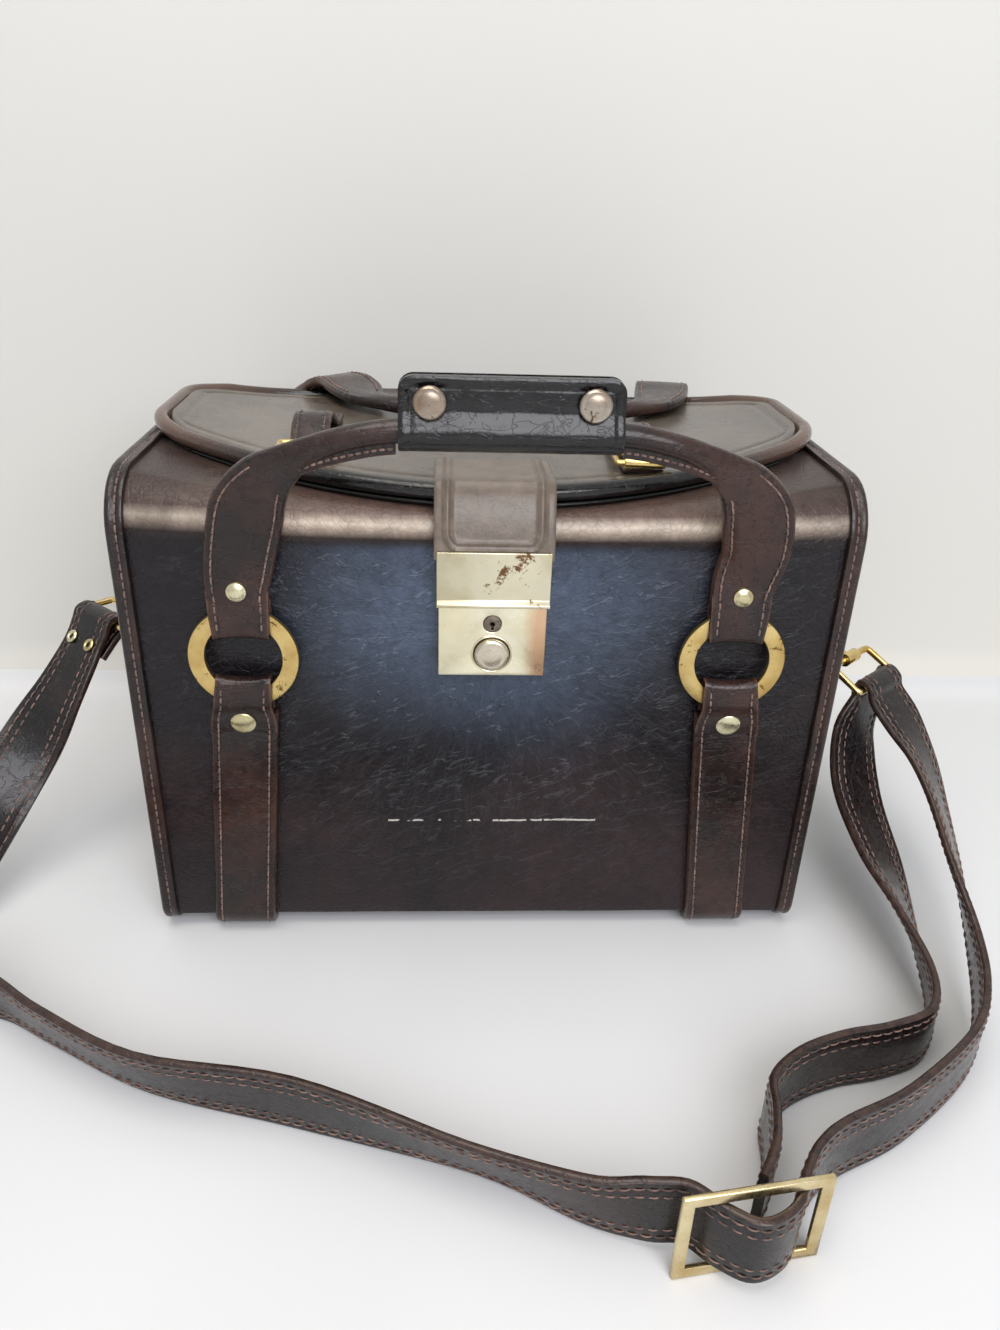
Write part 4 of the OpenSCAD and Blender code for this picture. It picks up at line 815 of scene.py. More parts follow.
# Lid: at its ends the edge turns from front to rear, between the depths EDGE_FRONT and EDGE_REAR
EDGE_FRONT = lid_front(TURN_X) + RIM_R
EDGE_REAR = lid_rear(TURN_X) - RIM_R
EDGE_DEEP = EDGE_REAR - EDGE_FRONT
EDGE_LONG = 137 - RIM_R - TURN_X
FRONT_SLOPE, REAR_SLOPE = front_slope(TURN_X), rear_slope(TURN_X)


def bend_curve(a, b, c, t):
    """From a to c, drawn towards b"""
    return a * (1 - t) ** 2 + 2 * b * t * (1 - t) + c * t * t


def turn_front(t):
    return bend_curve(EDGE_FRONT, EDGE_FRONT + EDGE_LONG * FRONT_SLOPE, EDGE_FRONT + 0.3 * EDGE_DEEP, t)


def turn_rear(t):
    return bend_curve(EDGE_REAR, EDGE_REAR - EDGE_LONG * REAR_SLOPE, EDGE_REAR - 0.3 * EDGE_DEEP, t)


def edge_z(s):
    return mix(rim_front_z(TURN_X), rim_rear_z(TURN_X), s)


def turn_place(t, k, inset=0):
    """How far across and how much higher the rim is, part of the way round its turn"""
    return k * (TURN_X + (EDGE_LONG - inset) * (2 * t - t * t)), TURN_RISE * math.sin(math.radians(90 * t))


def rim_path():
    """Middle line of the rim, all the way round"""
    turns = spread(0, 1, 20)[1:]

    def corner(k, turn, s, order):
        places = [(t, *turn_place(t, k)) for t in order]
        return [(x, FRONT + turn(t), edge_z(s) + rise) for t, x, rise in places]

    def side(k):
        middle = [(k * (TURN_X + EDGE_LONG), FRONT + EDGE_FRONT + EDGE_DEEP * (0.3 + 0.4 * q / 5),
                   edge_z(0.5) + TURN_RISE) for q in range(1, 5)]
        return corner(k, turn_front, 0, turns) + middle + corner(k, turn_rear, 1, turns[::-1])

    xs = spread(-TURN_X, TURN_X, 56)
    return ([(x, FRONT + lid_front(x) + RIM_R, rim_front_z(x)) for x in xs] + side(1)
            + [(x, FRONT + lid_rear(x) - RIM_R, rim_rear_z(x)) for x in xs[::-1]] + side(-1)[::-1])


def lid_rim(name):
    """Padded rim: cloth rolled round a cord, with the seam on its inner side"""
    path = [Vector(p) for p in rim_path()]
    rings = []
    for i, point in enumerate(path):
        along = heading(path, i, closed=True)
        out = along.cross(Vector((0, 0, 1))).normalized()
        up = out.cross(along)
        ring = []
        for k in range(20):
            a = 2 * math.pi * k / 20
            r = RIM_R - 0.5 * ridge(k, 8.5, 0.9) + 0.1 * noise.noise(point / 7)
            ring.append(point + (out * math.cos(a) + up * math.sin(a)) * r)
        rings.append(ring)
    return skin(name, rings, lambda i, j: (i * 4, j), closed=True)


def lid_sections(inset):
    """The lid across its depth, from end to end: x, front and rear edge, and their heights"""
    ends = [0.97, 0.93, 0.86, 0.78, 0.7, 0.6, 0.5, 0.4, 0.3, 0.2, 0.1]
    front, rear = [inset * math.hypot(1, slope) for slope in (FRONT_SLOPE, REAR_SLOPE)]

    def end(t, k):
        x, rise = turn_place(t, k, inset)
        return (x, FRONT + turn_front(t) + front * (1 - t), FRONT + turn_rear(t) - rear * (1 - t),
                edge_z(0) + rise, edge_z(1) + rise)

    middle = [(x, FRONT + lid_front(x) + RIM_R + inset * math.hypot(1, front_slope(x)),
               FRONT + lid_rear(x) - RIM_R - inset * math.hypot(1, rear_slope(x)),
               rim_front_z(x), rim_rear_z(x))
              for x in spread(-TURN_X, TURN_X, 48)]
    return [end(t, -1) for t in ends] + middle + [end(t, 1) for t in ends[::-1]]


def lid_panel(name):
    """Lid cover: flat leathercloth with a pressed line near the rim"""
    inner = [0, 0.8, 2, 4, 6, 7.2, 8, 8.8, 10]
    rings = []
    for x, y0, y1, z0, z1 in lid_sections(RIM_R + 0.5):
        deep = y1 - y0
        steps = inner + spread(12, deep - 12, 14) + [deep - d for d in inner[::-1]]
        top, low = [], []
        for d in steps:
            near = min(d, deep - d, INNER_X + 1.5 - abs(x))
            lift = 2 - 0.9 * ridge(near, 0, 0.9) - 0.7 * ridge(near, 8, 0.8)
            lift -= 0.25 * (noise.noise(Vector((x / 28, d / 28, 2))) + 0.5)
            z = mix(z0, z1, d / deep)
            top.append((x, y0 + d, z + lift))
            low.append((x, y0 + d, z - 2))
        rings.append(top + low[::-1])
    return skin(name, rings, lambda i, j: (rings[i][0][0], rings[i][j % len(rings[i])][1]))


def lid_top(x, y):
    """Height of the lid's cover at a place"""
    s = (y - FRONT - lid_front(x) - RIM_R) / (lid_rear(x) - lid_front(x) - 2 * RIM_R)
    return mix(rim_front_z(x), rim_rear_z(x), s) + 2


def lid_lip(name):
    """Strip under the front of the rim, down to the mouth"""
    rings = []
    for x in spread(-116, 116, 58):
        y = FRONT + lid_front(x) + 1.2
        low = MOUTH_Z + 7 * (x / INNER_X) ** 2 + 0.4
        high = rim_front_z(x) - RIM_R + 0.1
        mid = (low + high) / 2
        rings.append([(x, y + a, z) for a, z in [(0.3, low), (1.3, low - 0.05), (2.3, low), (2.6, low + 0.3),
                                                 (2.6, high - 0.2), (2.3, high), (0.3, high - 0.1),
                                                 (0, high - 0.3), (-0.25, mid), (0, low + 0.3)]])
    return skin(name, rings, lambda i, j: (rings[i][0][0], j))


TAB_Y, TAB_Z, TAB_HALF = FRONT + LID_LEAD + RIM_R, RIM_FRONT_Z, 21.5


def tab_strip(name):
    """Closure tab: one strip from the lid, over the rim to the hasp, with two pressed ribs along its edge"""
    turn = 4.7
    path = [(TAB_Y + 28, TAB_Z + 3.5), (TAB_Y + 20, TAB_Z + 3.6), (TAB_Y + 12, TAB_Z + 3.9),
            (TAB_Y + 6, TAB_Z + 4.4), (TAB_Y + 2, TAB_Z + turn)] + arc(turn, (110, 130), TAB_Y, TAB_Z)
    path += [(-89.2, 195.9), (-91.1, 192.6), (-92.8, 188.9), (-94.0, 185), (-94.9, 181), (-95.4, 177.3),
             (-95.7, 173.6)]
    points = [Vector((0, y, z)) for y, z in smooth_path(path, 6)]
    lengths = distances(points)
    across = [-TAB_HALF + d for d in (0, 0.3, 1.2, 2.4, 2.8, 3.2, 3.6, 4, 4.4, 4.8, 5.2, 5.6, 6, 6.4, 6.8,
                                      7.4, 8, 10, 13, 17)] + [0]
    across += [-a for a in across[-2::-1]]
    rings = []
    for i, point in enumerate(points):
        out = heading(points, i).cross(Vector((1, 0, 0)))
        top, low = [], []
        left = lengths[-1] - lengths[i]
        for x in across:
            d = TAB_HALF - abs(x)
            if left < 10 and d < 10:
                d = 10 - math.hypot(10 - d, 10 - left)
            near = min(d, left)
            rib = 0.95 * ridge(near, 3.6, 0.6) + 0.8 * ridge(near, 6.0, 0.6)
            soft = 0.7 * math.exp(-(TAB_HALF - abs(x)) / 0.35)
            top.append(point + Vector((x, 0, 0)) + out * (1.2 + rib - soft))
            low.append(point + Vector((x, 0, 0)) - out * (1.2 - soft))
        rings.append(top + low[::-1])
    return skin(name, rings, lambda i, j: (lengths[i], j))


def hinge_spine():
    """Leather hinge: up the back, round the rear rim and on to the lid"""
    path = [(86.2, 150), (86.2, 158), (86.2, 166), (86.2, 174), (86.2, 182), (86.1, 186.6), (85.2, 188.9),
            (82.4, 189.7), (79.6, 190.4), (HINGE_Y + RIM_R + 0.9, 192.2)]
    path += arc(RIM_R + 0.9, (15, 40, 65, 90), HINGE_Y, HINGE_Z)
    path += [(HINGE_Y - 5, HINGE_Z + 3.4), (HINGE_Y - 10, HINGE_Z + 3.3), (HINGE_Y - 15, HINGE_Z + 3.3)]
    return spine_of([((0, y, z), (1, 0, 0)) for y, z in path], 4, HINGE_W, HINGE_T)


# Rings, loops and handles
def ring_pair(name, side):
    """Two rings of flat band with rounded edges"""
    flat = [(-3.15, -0.7), (-2.9, -1.15), (-2.3, -1.3), (0, -1.35), (2.3, -1.3), (2.9, -1.15), (3.15, -0.7)]
    flat += [(-p, -h) for p, h in flat]
    made = []
    for k in (-1, 1):
        turns = arc(1, range(0, 360, 5))
        rings = [[(k * RING_X + (RING_R - RING_BAND / 2 + p) * c, RING_Y[side] + h,
                   RING_Z + (RING_R - RING_BAND / 2 + p) * s) for p, h in flat] for c, s in turns]
        made.append(skin(name, rings, closed=True))
    return join(name, made)


# Loops: steps across the strap, the fold's outer and inner radius and flattening, and how far below the
# ring's middle the outer layer of a lower loop meets the base strap
LOOP_STEPS, LOOP_OUT, LOOP_IN, LOOP_FLAT, UNDER_RING = 24, 3.1, 1.65, 0.8, 30


def loop_rise(side):
    """How far the base strap's face stands out from the ring's middle there"""
    return strap_off(RING_Z - UNDER_RING, side) + STRAP_T - abs(RING_Y[side])


def folded_loop(k, side, up):
    """Strap end folded round a ring; the outer layer runs on along the strap and sinks into it"""
    outer_end, long = [(2.5, 28), (3.1, 24.5)], 28
    if up < 0:
        proud = loop_rise(side)
        outer_end, long = [(proud - 0.2, 34), (proud + 0.45, 30), (mix(proud, 3.4, 0.45), 25.5)], 34
    fold = range(0, -181, -20)
    rings = []
    for i in range(LOOP_STEPS + 1):
        a = 2 * i / LOOP_STEPS - 1
        edge = min(1, (1 - abs(a)) * 6)
        low = 11.2 - 1.2 * a * a
        outer, inner = LOOP_OUT + 0.35 * edge, LOOP_IN - 0.15 * edge
        soft = 0.35 * (edge - 1)
        line = [(o + soft, z) for o, z in outer_end] + [(outer, 20), (outer, 16.5)]
        line += arc(outer, fold, 0, low, LOOP_FLAT) + [(-outer, 16.5), (-outer, 19.5), (-outer, 22.6)]
        back = [(inner, 22.6), (inner, 16.5)] + arc(inner, fold, 0, low, LOOP_FLAT)
        back += [(-inner, 16.5), (-inner, 22.6)]
        inside = [(outer_end[0][0] - 0.6, long), (min(inner, outer_end[-1][0] - 0.8), 25)]
        points = []
        for o, z in line + back[::-1] + inside[::-1]:
            wide = mix(0.93, 1, part_of((z - 10) / 8))
            if up < 0:
                wide *= mix(1, STRAP_W / LOOP_W, part_of((z - 20) / 8))
            else:
                wide *= 1 + 0.003 * max(0, z - 20)
            middle = RING_X if up > 0 else strap_x(RING_Z - z)
            points.append((k * middle + a * LOOP_W / 2 * wide, RING_Y[side] + side * o, RING_Z + up * z))
        rings.append(points)
    return skin("loop", rings, lambda i, j: (j, min(i, LOOP_STEPS - i) * LOOP_W / LOOP_STEPS))


def loop_sewing(side, up):
    """Stitching down the outer layer of the loops, and on the inner layer where it shows"""
    proud = loop_rise(side)
    shown = [(11.8, 3.36, 8), (20, 3.36, 8) if up < 0 else (23.5, 3.3, 8.3)]
    run_on = []
    if up < 0:
        run_on = [(25.5, mix(proud, 3.4, 0.45), 9.3), (30, proud + 0.4, 9.7), (33, proud, 9.7)]
    return [[(Vector((k * (RING_X if up > 0 else strap_x(RING_Z - z)) + s * w,
                      RING_Y[side] + side * face * o, RING_Z + up * z)), Vector((0, side * face, 0)))
             for z, o, w in (shown + run_on if face > 0 else shown)]
            for k in (-1, 1) for s in (-1, 1) for face in (1, -1)]


GRIP_X, GRIP_Y, GRIP_Z, ROLL = 3.5, FRONT - 26.5, 222, 8
OUT_FRONT, OUT_BACK = -RING_Y[-1] - BACK, RING_Y[1] - BACK
# Half of each handle: across, out from the wall, height, width, thickness, how far it has rolled up, and how
# far it has shifted sideways with the middle
FRONT_ROWS = [(92, OUT_FRONT, 155.0, 22, 6.6, 0, 0), (92, OUT_FRONT + 0.2, 160, 23, 5.0, 0, 0),
              (92, OUT_FRONT + 0.5, 166, 24.4, 4.2, 0, 0.2), (91.5, 11, 178, 25.4, 4, 0, 0.8),
              (88, 15, 192, 25.4, 4, 0, 1), (82, 18.4, 202, 20, 4.6, 0.15, 1),
              (74.5, 21, 208.5, 14, 5.8, 0.5, 1), (66, 23.5, 214, 9.5, 7, 0.85, 1),
              (54, 25.7, 218.8, ROLL, ROLL, 1, 1), (37, 26.5, 222, ROLL, ROLL, 1, 1),
              (12, 26.5, 222, ROLL, ROLL, 1, 1)]
REAR_ROWS = [(92, OUT_BACK, 155.0, 22, 6.6, 0, 0), (92, OUT_BACK + 0.3, 160, 23.2, 5.0, 0, 0),
             (92, OUT_BACK + 0.4, 166, 24, 4.1, 0, 0), (90.5, OUT_BACK, 180, 25.4, 4, 0, 0.1),
             (87, 4, 191.5, 25.4, 4, 0, 0.4), (82.5, -4, 200.8, 25.4, 4, 0, 0.6),
             (78, -13, 203.2, 25.4, 4, 0, 0.85), (73, -27, 202.2, 25, 4, 0, 1),
             (67, -43, 201.6, 19, 4.6, 0.3, 1), (57, -54, 201.4, 12, 6.6, 0.7, 1),
             (44, -60, 201.2, ROLL, ROLL, 1, 1), (26, -61.5, 201.1, ROLL, ROLL, 1, 1),
             (10, -61.5, 201.1, ROLL, ROLL, 1, 1)]


def handle_spine(rows, side, shift, lie):
    """A handle's way from ring to ring; one that lies on the lid turns its face upwards there"""
    half = [(r[0], side * (BACK + r[1]), r[2], r[3], r[4], r[5], shift * r[6]) for r in rows]
    path = [(-r[0] + r[6],) + r[1:6] for r in half] + [(r[0] + r[6],) + r[1:6] for r in half[::-1]]
    fine = smooth_path(path, 7)
    points = [Vector(f[:3]) for f in fine]
    made = []
    for i, f in enumerate(fine):
        along = heading(points, i)
        turn = part_of((f[2] - 180) / 19) if lie else 0
        facing = Vector((0, side * (1 - turn), turn)).normalized()
        out = (facing - along * facing.dot(along)).normalized()
        made.append((points[i], along.cross(out), out, f[3], f[4], part_of(f[5])))
    return made


def seam_flange(name, spine, drop):
    """The two edges of the rolled strap, sewn together under the roll"""
    made = []
    for half in (spine[:len(spine) // 2], spine[len(spine) // 2:]):
        part = [s for s in half if s[5] > 0.32 and (abs(s[0].x - GRIP_X) > 34 or drop.y)]
        rows = []
        for at, side, out, width, thick, roll in part:
            grow = min(1, (roll - 0.3) / 0.5)
            centre = at + drop * (thick / 2 + 0.9 * grow)
            rows.append((centre, drop, drop.cross(side.cross(out)).normalized(), 4.2 * grow + 1, 2.8, 0))
        made.append(rows)
    strips = [strap(name, rows, margin=1.6, groove=0.1) for rows in made]
    lines = [[(at + out * f * (thick / 2 - 0.1) + drop * 0.5, out * f)
              for at, side, out, width, thick, roll in rows] for rows in made for f in (-1, 1)]
    return join(name, strips), thread(name + "_stitches", lines, pitch=2.6, radius=0.42)


def grip_half(name, side):
    """Half of the hand grip: leather folded round the roll, with a raised border"""
    inner_r, outer_r, closed, thick, high = 4.3, 6.3, 1.3, 2, 24.5
    low, base, half, round_r = GRIP_Z - outer_r, GRIP_Z + 6.6, 36, 5
    ends = [0, 0.25, 0.8, 1.8, 2.8, 3.4, 3.9, 4.6, 6]
    xs = [e - half for e in ends] + spread(-28, 28, 22) + [half - e for e in ends[::-1]]
    rings = []
    for x in xs:
        end = half - abs(x)
        corner = round_r - math.sqrt(max(0, round_r ** 2 - (round_r - end) ** 2)) if end < round_r else 0
        top = low + high - corner * 0.9
        outer = [(0.1, GRIP_Z - outer_r)] + arc(outer_r, range(-75, 31, 7), 0, GRIP_Z)
        outer += [(closed + thick, mix(base, top, q)) for q in (0, 0.12, 0.3, 0.5, 0.65)]
        outer += [(closed + thick, top - d) for d in (4.6, 3.9, 3.4, 2.6, 1.6, 0.7, 0.2)]
        inner = [(closed, top), (closed, mix(base, top, 0.5)), (closed, GRIP_Z + 6.3)]
        inner += arc(inner_r, range(30, -76, -7), 0, GRIP_Z) + [(0.1, GRIP_Z - inner_r)]
        ring = []
        for n, (o, z) in enumerate(outer):
            near = min(end, top - z) if z > GRIP_Z - 2 else end
            lift = 0.28 * (near < 3.2) - 0.55 * ridge(near, 0, 0.35) - 0.2 * ridge(near, 3.7, 0.4)
            wave = 0.34 * noise.noise(Vector((x / 7, z / 6, side)))
            if o > 0.2:
                o += lift + wave
            ring.append((GRIP_X + x, GRIP_Y - side * o, z))
        ring += [(GRIP_X + x, GRIP_Y - side * o, z) for o, z in inner]
        rings.append(ring)
    return skin(name, rings, lambda i, j: (xs[i], j))


DOME = [(0, 0), (0, 1.0), (0.35, 1.0), (0.55, 0.93), (0.62, 0.8), (0.78, 0.68), (0.93, 0.45), (1.0, 0)]


def rivet(centre, axis, radius, high):
    """Domed rivet on a flat collar"""
    return turned("rivet", [(d * high, r * radius) for d, r in DOME], centre, axis, 28)


# Shoulder strap
SLING_LOW = FLOOR_Z + 14 + 0.1
LEFT_EYE, LEFT_BAR = Vector((-165, 12, 106)), Vector((-176, 0.5, 106))
RIGHT_EYE, RIGHT_BAR = Vector((177, -5, 92)), Vector((187, -17.5, 85))
LEFT_ALONG, RIGHT_ALONG = Vector((20, -18, 0)).normalized(), Vector((21, 18, 0)).normalized()
LEFT_DOWN, RIGHT_DOWN = Vector((-13, -14.5, -22)).normalized(), Vector((3.4, -4, -16)).normalized()


WIRE_R = 1.6


def turn_round(bar, down, out, wide, tail):
    """The strap's way round the bar of a wire loop; one with a tail lies flat on itself below it"""
    r = WIRE_R + SLING_T / 2 + 0.8
    first = [down * 16 + out * 2.3, down * 6 + out * 3.2] if tail else [down * 6 + out * 4.4]
    last = [down * 6 - out * 2.6, down * 16 - out * 1.2] if tail else [down * 6 - out * 4.4]
    return [(bar + p, wide) for p in first + [out * r, -down * r, -out * r] + last]


def sling_route():
    """The shoulder strap from the left loop along the floor to the right loop and back to its slide buckle"""
    low, slide = SLING_LOW, SLING_LOW + 4.5
    start = turn_round(LEFT_BAR, LEFT_DOWN, LEFT_ALONG.cross(LEFT_DOWN).normalized(), (-0.74, 0.67, 0), True)
    # Each row is a place and the direction of the strap's width
    floor = [(-192, -20, 79, -0.76, 0.6, 0.2), (-203, -32, 60, -0.8, 0.3, 0.5),
             (-216, -54, 38, -0.6, 0.15, 0.8), (-224, -84, 20, -0.35, 0.05, 0.94),
             (-221, -112, 11.5, -0.1, 0, 1), (-206, -128, low, 0, 0, 1),
             (-184, -138, low, 0, -0.2, 1), (-161, -153, low, 0, -0.3, 0.95),
             (-122, -174, low, 0, -0.3, 0.95),
             (-67, -187.5, low, 0, -0.14, 1), (-7, -210, low, 0, -0.4, 0.9), (28, -226, low + 1, 0, -0.2, 1),
             (46, -231, low + 3, 0, 0, 1), (58, -233.4, slide, 0, 0, 1), (67, -241, slide, 0, 0, 1),
             (77, -246, slide, 0, 0, 1), (88, -241, slide, 0, 0, 1), (95, -229.5, slide, 0, 0, 1),
             (103, -219, low + 3, 0, 0, 1), (116, -209, low + 1, 0, 0, 1), (143, -196, low, 0, 0, 1),
             (176, -172, low + 0.4, 0, 0, 1), (192, -150, 11.5, -0.05, 0, 1), (200, -125, 18, -0.2, 0, 1),
             (204, -90, 33, -0.5, -0.2, 0.8), (206, -62, 46, -0.6, -0.4, 0.6),
             (204, -42, 59, -0.7, -0.6, 0.3), (197, -29, 72, -0.76, -0.65, 0)]
    out = RIGHT_ALONG.cross(RIGHT_DOWN).normalized()
    over = turn_round(RIGHT_BAR, RIGHT_DOWN, out, (-0.76, -0.65, 0), False)
    back = [(177, -27, 62, -0.8, -0.5, 0.1), (174, -48, 44, -0.85, -0.2, 0.3), (175, -80, 31, -0.8, 0, 0.5),
            (177, -112, 20, -0.5, 0, 0.8), (176, -140, 12, -0.2, 0, 1), (166, -160, low + 0.4, 0, 0, 1),
            (148, -168, low, 0, 0, 1), (128, -172, low, 0, 0, 1), (110, -179, low, 0, 0, 1),
            (97, -190, low, 0, 0, 1), (93, -205, low + 2, 0, 0, 1), (88, -220, slide, 0, 0, 1),
            (81, -231, slide, 0, 0, 1)]
    floor, back = [[(row[:3], row[3:]) for row in rows] for rows in (floor, back)]
    return start + floor + over[::-1] + back


def wire_loop(name, eye, bar, along):
    """Four-cornered wire loop through a side post's eye"""
    half, cut = 16.4, 2.2
    corners = [eye - along * half, eye + along * half, bar + along * half, bar - along * half]
    path = []
    for i, p in enumerate(corners):
        a = (corners[i - 1] - p).normalized()
        b = (corners[(i + 1) % 4] - p).normalized()
        path += [p + a * cut, p + (a * 0.5 + b * 0.1) * cut, p + (a + b) * cut * 0.22,
                 p + (b * 0.5 + a * 0.1) * cut, p + b * cut]
    return tube(name, path, WIRE_R, 14, closed=True)


# Inside
def pad(name, low, high, axis):
    """A padded board: thick in the middle, pulled in at its sewn edges"""
    middle = [(a + b) / 2 for a, b in zip(low, high)]
    half = [(b - a) / 2 for a, b in zip(low, high)]
    others = [k for k in range(3) if k != axis]
    thin = min(others, key=lambda n: half[n])
    rings = []
    for q in spread(-0.5, 0.5, 40):
        u = math.sin(math.pi * q)
        close = (1 - abs(u) ** 14) ** (1 / 14) if abs(u) < 1 else 0.001
        ring = []
        for k in range(56):
            a = 2 * math.pi * k / 56
            point = [0, 0, 0]
            point[axis] = middle[axis] + half[axis] * u
            for n, value in zip(others, (math.cos(a), math.sin(a))):
                power = math.copysign(abs(value) ** 0.25, value)
                puff = (0.8 + 0.2 * (1 - u * u)) if n == thin else 1
                point[n] = middle[n] + half[n] * power * close * puff
            ring.append(point)
        rings.append(ring)
    piece = skin(name, rings)
    finish(piece, pad_cloth, "case", "lining_cloth", name.replace("_padded", ""))


# Solids that keep their CAD shape: node, width and steps of the rounded edges, material, body and slot
for node, width, steps, material, body, slot in [
        ("mouth_trim", 0.5, 2, lip_plastic, "case", "trim"),
        ("lining", 0.3, 2, lining_cloth, "case", "lining_cloth"),
        ("lid_lining", 0.2, 2, lining_cloth, "lid", "lining_cloth"),
        ("lock_plate", 0.2, 2, lock_brass, "case", "brass"),
        ("lock_case", 0.45, 3, lock_brass, "case", "brass"),
        ("key_plug", 0.15, 2, plug_nickel, "key_plug", "brass"),
        ("hasp_cover", 0.35, 3, hasp_brass, "tab", "brass"),
        ("side_rivets", 0.4, 2, rivet_brass, "case", "brass"),
        ("sling_slider", 0.55, 3, slide_brass, "sling", "brass")]:
    finish(refined(node, width, steps), material, body, slot, node)
for word in ("left", "right"):
    for part, width, steps, body in [("_side_plate", 0.3, 2, "case"), ("_buckle_frame", 0.05, 1, "lid"),
                                     ("_buckle_roller", 0.35, 2, word + "_roller"),
                                     ("_buckle_prong", 0.25, 2, word + "_prong"), ("_lug", 0.35, 2, "sling")]:
        finish(refined(word + part, width, steps), bright_brass, body, "brass", word + part)
for node, material in (("base_panel", covering), ("left_end_panel", covering), ("right_end_panel", covering),
                       ("lock_latch", steel)):
    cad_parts[node].data.materials.clear()
    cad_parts[node].data.materials.append(material)

# Case
for side, word in ((-1, "front"), (1, "back")):
    finish(wall_panel(word + "_panel_covered", side), covering, "case", "covering", word + "_panel")
for node, axis, fill in (("base_pad", 0, 0.9), ("left_divider", 2, 0.8), ("right_divider", 2, 0.8)):
    low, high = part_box(node)
    pad(node + "_padded", low / MM, high / MM, axis)
for k, word in ((-1, "left"), (1, "right")):
    finish(binding(word + "_binding_sewn", k), edging, "case", "edging", word + "_binding")
    finish(binding_sewing(word + "_binding_stitches", k), thread_brown, "case", "edging")
    spine = base_strap_spine(k)
    finish(strap(word + "_base_strap_sewn", spine), strap_leather, "case", "strap_leather",
           word + "_base_strap")
    lines = [sewing_line(spine, SEAM, s, f) for s in (-1, 1) for f in (-1, 1)]
    outside = [line for line in lines if line[0][1].y < 0]
    finish(thread(word + "_base_strap_stitches", outside), thread_tan, "case", "strap_leather")
RIVET_R, RIVET_HIGH = 4.8, 1.8
rivet_z = FLEX_Z - 6
made = [rivet((k * strap_x(rivet_z), side * (strap_off(rivet_z, side) + STRAP_T + 1.15), rivet_z),
              (0, side, -0.2), RIVET_R, RIVET_HIGH) for k in (-1, 1) for side in (-1, 1)]
finish(join("base_strap_rivets_domed", made), rivet_brass, "case", "brass", "base_strap_rivets")

# Lock: collar, button and its spring
BUTTON_Z = LOCK_Z + 9
ring = [(0, 6.75), (0, 7.7), (0.35, 7.5), (0.5, 7.2), (0.35, 6.9), (0, 6.75)]
finish(turned("button_collar", ring, (0, LOCK_FRONT, BUTTON_Z), (0, -1, 0), 40), lock_brass, "case", "brass")
head = [(-2.6, 0), (-2.6, 1.4), (0, 1.4), (0, 6.3), (2.6, 6.4), (3.2, 6.2), (3.7, 5.6), (3.9, 4.8),
        (3.8, 4.5), (4.3, 3.2), (4.55, 1.6), (4.6, 0)]
button = turned("lock_button_domed", head, (0, LOCK_FRONT + 1.4, BUTTON_Z), (0, -1, 0), 40)
finish(button, button_nickel, "button", "button_metal", "lock_button")
low, high = [Vector(corner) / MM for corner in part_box("button_spring")]
middle = (low + high) / 2
wire = SPRING_WIRE / 2
coil = (high.x - low.x) / 2 - wire
turns = [2 * math.pi * SPRING_TURNS * k / 200 for k in range(201)]
path = [(middle.x + coil * math.cos(a), mix(high.y - wire, low.y + wire, a / turns[-1]),
         middle.z + coil * math.sin(a)) for a in turns]
finish(tube("button_spring_coiled", path, wire, 8), steel,
       ("case", "button", (0, high.y, middle.z), (0, low.y, middle.z)), "spring_steel", "button_spring")

# Lid, closure tab and hinge
finish(lid_panel("lid_panel_covered"), lid_cover_painted_sheen, "lid", "covering", "lid_panel")
finish(lid_rim("lid_rim_padded"), rim_leather, "lid", "edging", "lid_rim")
finish(lid_lip("lid_lip_strip"), lip_plastic, "lid", "trim", "lid_lip")
finish(tab_strip("closure_tab_ribbed"), tab_leather, ("lid", "tab", (0, -80, 199.5), (0, -91, 190)), "edging",
       "tab_root", "closure_tab")
finish(strap("hinge_strip", hinge_spine(), margin=3, groove=0.2), edging,
       ("case", "lid", (0, 78.6, 191), (0, 76, 197.5)), "edging", "hinge_leaf_body", "hinge_leaf_lid")

# Straps on the lid: how far along and how high each one's route goes, from its buckle backwards
LID_STRAP_INSET, LID_STRAP_RUN = 2.4, 75.9
LID_STRAP_ROWS = [(1, 0), (0.9, 0), (0.763, 1), (0.618, 5.5), (0.474, 9), (0.355, 7.5), (0.25, 2.6),
                  (0.2, 2.6)]
for word, x, start in (("left", -70, FRONT + 21), ("right", 56, FRONT + 15)):
    route = [((x, start + p * LID_STRAP_RUN, lid_top(x, start + p * LID_STRAP_RUN) + 1.45 + h), (1, 0, 0))
             for p, h in LID_STRAP_ROWS]
    spine = spine_of(route, 6, LID_STRAP_W, LID_STRAP_T)
    low_route = [((x, start + p, lid_top(x, start + p) + 1.25), (1, 0, 0)) for p in (12.4, 8, 4.5, 1)]
    layers = [strap("upper", spine, LID_STRAP_INSET, 0.2),
              strap("lower", spine_of(low_route, 3, LID_STRAP_W, 1.2), LID_STRAP_INSET, 0.1)]
    finish(join(word + "_lid_strap_sewn", layers), strap_leather, "lid", "strap_leather", word + "_lid_strap")
    up = 1 if spine[0][2].z > 0 else -1
    lines = [sewing_line(spine, LID_STRAP_INSET, s, up) for s in (-1, 1)]
    finish(thread(word + "_lid_strap_stitches", lines, 2.8, 0.28), thread_brown, "lid", "strap_leather")

